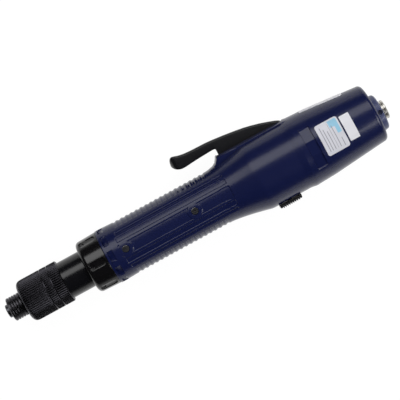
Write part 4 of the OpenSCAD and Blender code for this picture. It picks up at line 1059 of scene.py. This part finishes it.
class SCREWDRIVER_OT_inner(bpy.types.Operator):
    """Finishes on the gearbox, clutch, motor and electronics inside the housing"""

    bl_idname = "screwdriver.inner"
    bl_label = "Inner pieces"

    def execute(self, context):
        for name, recipe, code, nodes in INNER_FINISHES:
            material = recipe(name, linear(code))
            for node in nodes:
                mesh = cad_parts[node].data
                mesh.materials.clear()
                mesh.materials.append(material)
        return {"FINISHED"}


# ---------------------------------------------------------------- studio


def area_lamp(name, place, aim, size, power, glossy=True):
    """A rectangular softbox at a place, turned to an aim; a fill lamp hides from gloss."""
    data = bpy.data.lights.new(name, "AREA")
    data.shape = "RECTANGLE"
    data.size, data.size_y = size
    data.energy = power
    lamp = bpy.data.objects.new(name, data)
    lamp.location = place
    lamp.rotation_euler = (Vector(aim) - Vector(place)).to_track_quat("-Z", "Y").to_euler()
    lamp.visible_glossy = glossy
    bpy.context.scene.collection.objects.link(lamp)
    return lamp


def studio_floor(low):
    """A pale matt board under the tool. The camera sees it white, mixed with enough of its own
    shading to keep the tool's shadow, and mirrored it fades with distance."""
    size, step = 3.0, 13
    u = np.linspace(-size, size, step)
    x, y = np.meshgrid(u + 0.135, u, indexing="ij")
    points = np.stack([x, y, np.full_like(x, low)], -1).reshape(-1, 3)
    mesh = bpy.data.meshes.new("studio_floor")
    mesh.from_pydata(points.tolist(), [], grid_faces(step, step).tolist())
    material = bpy.data.materials.new("matt_white_board")
    material.use_nodes = True
    tree = material.node_tree
    tree.nodes.clear()
    path = add_node(tree, "ShaderNodeLightPath")
    where = add_node(tree, "ShaderNodeTexCoord").outputs["Object"]
    side = add_node(tree, "ShaderNodeSeparateXYZ", {"Vector": where}).outputs["Y"]
    far = add_node(tree, "ShaderNodeMath", {0: side}, operation="ABSOLUTE").outputs[0]
    near = add_node(tree, "ShaderNodeMapRange",
                    {"Value": far, "From Min": 0.045, "From Max": 0.11, "To Min": 1.0,
                     "To Max": 0.04})
    glossy = add_node(tree, "ShaderNodeMath",
                      {0: path.outputs["Is Glossy Ray"], 1: near.outputs["Result"]},
                      operation="MULTIPLY")
    seen = add_node(tree, "ShaderNodeMath",
                    {0: path.outputs["Is Camera Ray"], 1: glossy.outputs[0]}, operation="MAXIMUM")
    share = add_node(tree, "ShaderNodeMath", {0: seen.outputs[0], 1: 0.9}, operation="MULTIPLY")
    board = add_node(tree, "ShaderNodeBsdfDiffuse", {"Color": linear("#f4f4f4")})
    glow = add_node(tree, "ShaderNodeEmission", {"Color": (1, 1, 1, 1), "Strength": 1.06})
    mix = add_node(tree, "ShaderNodeMixShader",
                   {0: share.outputs[0], 1: board.outputs[0], 2: glow.outputs[0]})
    output = add_node(tree, "ShaderNodeOutputMaterial")
    tree.links.new(mix.outputs[0], output.inputs["Surface"])
    mesh.materials.append(material)
    floor = bpy.data.objects.new("studio_floor", mesh)
    bpy.context.scene.collection.objects.link(floor)


def studio_world():
    """A room that is dark overhead and mid grey at the horizon, by the height of the direction.
    The camera sees a plain pale backdrop in its place."""
    world = bpy.data.worlds.new("studio")
    world.use_nodes = True
    tree = world.node_tree
    tree.nodes.clear()
    way = add_node(tree, "ShaderNodeTexCoord").outputs["Generated"]
    height = add_node(tree, "ShaderNodeSeparateXYZ", {"Vector": way}).outputs["Z"]
    ramp = add_node(tree, "ShaderNodeMapRange",
                    {"Value": height, "From Min": -0.02, "From Max": 0.12, "To Min": 0.3,
                     "To Max": 0.03}, interpolation_type="SMOOTHSTEP")
    seen = add_node(tree, "ShaderNodeLightPath").outputs["Is Camera Ray"]
    room = add_node(tree, "ShaderNodeMath", {0: ramp.outputs["Result"], 1: seen},
                    operation="MAXIMUM")
    back = add_node(tree, "ShaderNodeBackground", {"Strength": room.outputs[0]})
    output = add_node(tree, "ShaderNodeOutputWorld")
    tree.links.new(back.outputs[0], output.inputs["Surface"])
    bpy.context.scene.world = world


def studio_camera(studio):
    """A long lens over the side of the tool, leant to the lever's side and rolled so that the
    tool climbs to the right."""
    data = bpy.data.cameras.new("camera")
    data.lens = studio.lens
    data.sensor_width = 36.0
    camera = bpy.data.objects.new("camera", data)
    distance = studio.frame_width * studio.lens / data.sensor_width
    lean, turn = studio.tilt, studio.bearing
    back = Vector((0.0, np.sin(lean), np.cos(lean)))
    right = Vector((np.cos(turn), -np.sin(turn) * np.cos(lean), np.sin(turn) * np.sin(lean)))
    right = (right - back * right.dot(back)).normalized()
    up = back.cross(right)
    turned = Matrix((right, up, back)).transposed()
    place = Vector((0.14, 0.0038, 0.0)) + back * distance
    camera.matrix_world = Matrix.Translation(place) @ turned.to_4x4()
    data.clip_start, data.clip_end = 0.05, 10.0
    bpy.context.scene.collection.objects.link(camera)
    bpy.context.scene.camera = camera


class SCREWDRIVER_OT_studio(bpy.types.Operator):
    """The floor, the light and the camera"""

    bl_idname = "screwdriver.studio"
    bl_label = "Studio"

    def execute(self, context):
        scene = context.scene
        scene.view_settings.view_transform = "Standard"
        studio = scene.screwdriver_studio
        studio_floor(cad_box[0][2] - 0.0002)
        studio_world()
        studio_camera(studio)
        aim = (0.15, 0.0, 0.0)
        angle, far = np.radians(34.5), 0.9
        key = (0.38, far * np.sin(angle), far * np.cos(angle))
        area_lamp("key_softbox", key, (0.38, 0.0, 0.0), (1.3, 0.48), studio.key_power)
        rear = (0.75, -0.45, 0.62)
        area_lamp("rear_softbox", rear, (0.24, 0.0, 0.0), (0.5, 0.42), studio.key_power * 0.7)
        area_lamp("fill_lamp", (0.1, -0.1, 1.1), aim, (1.6, 1.6), studio.fill_power, glossy=False)
        return {"FINISHED"}


# ---------------------------------------------------------------- add-on

OPERATORS = (
    SCREWDRIVER_OT_housing, SCREWDRIVER_OT_screws, SCREWDRIVER_OT_front_end,
    SCREWDRIVER_OT_controls, SCREWDRIVER_OT_rear_end, SCREWDRIVER_OT_labels,
    SCREWDRIVER_OT_inner, SCREWDRIVER_OT_studio,
)


class SCREWDRIVER_PT_panel(bpy.types.Panel):
    """Lists the screwdriver's sizes, colours and pieces"""

    bl_idname = "SCREWDRIVER_PT_panel"
    bl_label = "Screwdriver"
    bl_space_type = "VIEW_3D"
    bl_region_type = "UI"
    bl_category = "Screwdriver"

    def draw(self, context):
        """Draws a button for each piece and a field for each setting."""
        for operator in OPERATORS:
            self.layout.operator(operator.bl_idname)
        for group in ("screwdriver_sizes", "screwdriver_colours", "screwdriver_studio"):
            settings = getattr(context.scene, group)
            for name in type(settings).__annotations__:
                self.layout.prop(settings, name)


GROUPS = {
    "screwdriver_sizes": ScrewdriverSizes,
    "screwdriver_colours": ScrewdriverColours,
    "screwdriver_studio": StudioSettings,
}


def register():
    """Adds the settings, the operators and the panel to Blender."""
    for group in GROUPS.values():
        bpy.utils.register_class(group)
    for name, group in GROUPS.items():
        setattr(bpy.types.Scene, name, bpy.props.PointerProperty(type=group))
    for operator in OPERATORS:
        bpy.utils.register_class(operator)
    bpy.utils.register_class(SCREWDRIVER_PT_panel)


def unregister():
    """Takes them out again, in reverse order."""
    bpy.utils.unregister_class(SCREWDRIVER_PT_panel)
    for operator in reversed(OPERATORS):
        bpy.utils.unregister_class(operator)
    for name, group in GROUPS.items():
        delattr(bpy.types.Scene, name)
        bpy.utils.unregister_class(group)


def main():
    """Makes every piece and the studio."""
    register()
    for operator in OPERATORS:
        family, name = operator.bl_idname.split(".")
        getattr(getattr(bpy.ops, family), name)()


if __name__ == "__main__":
    main()
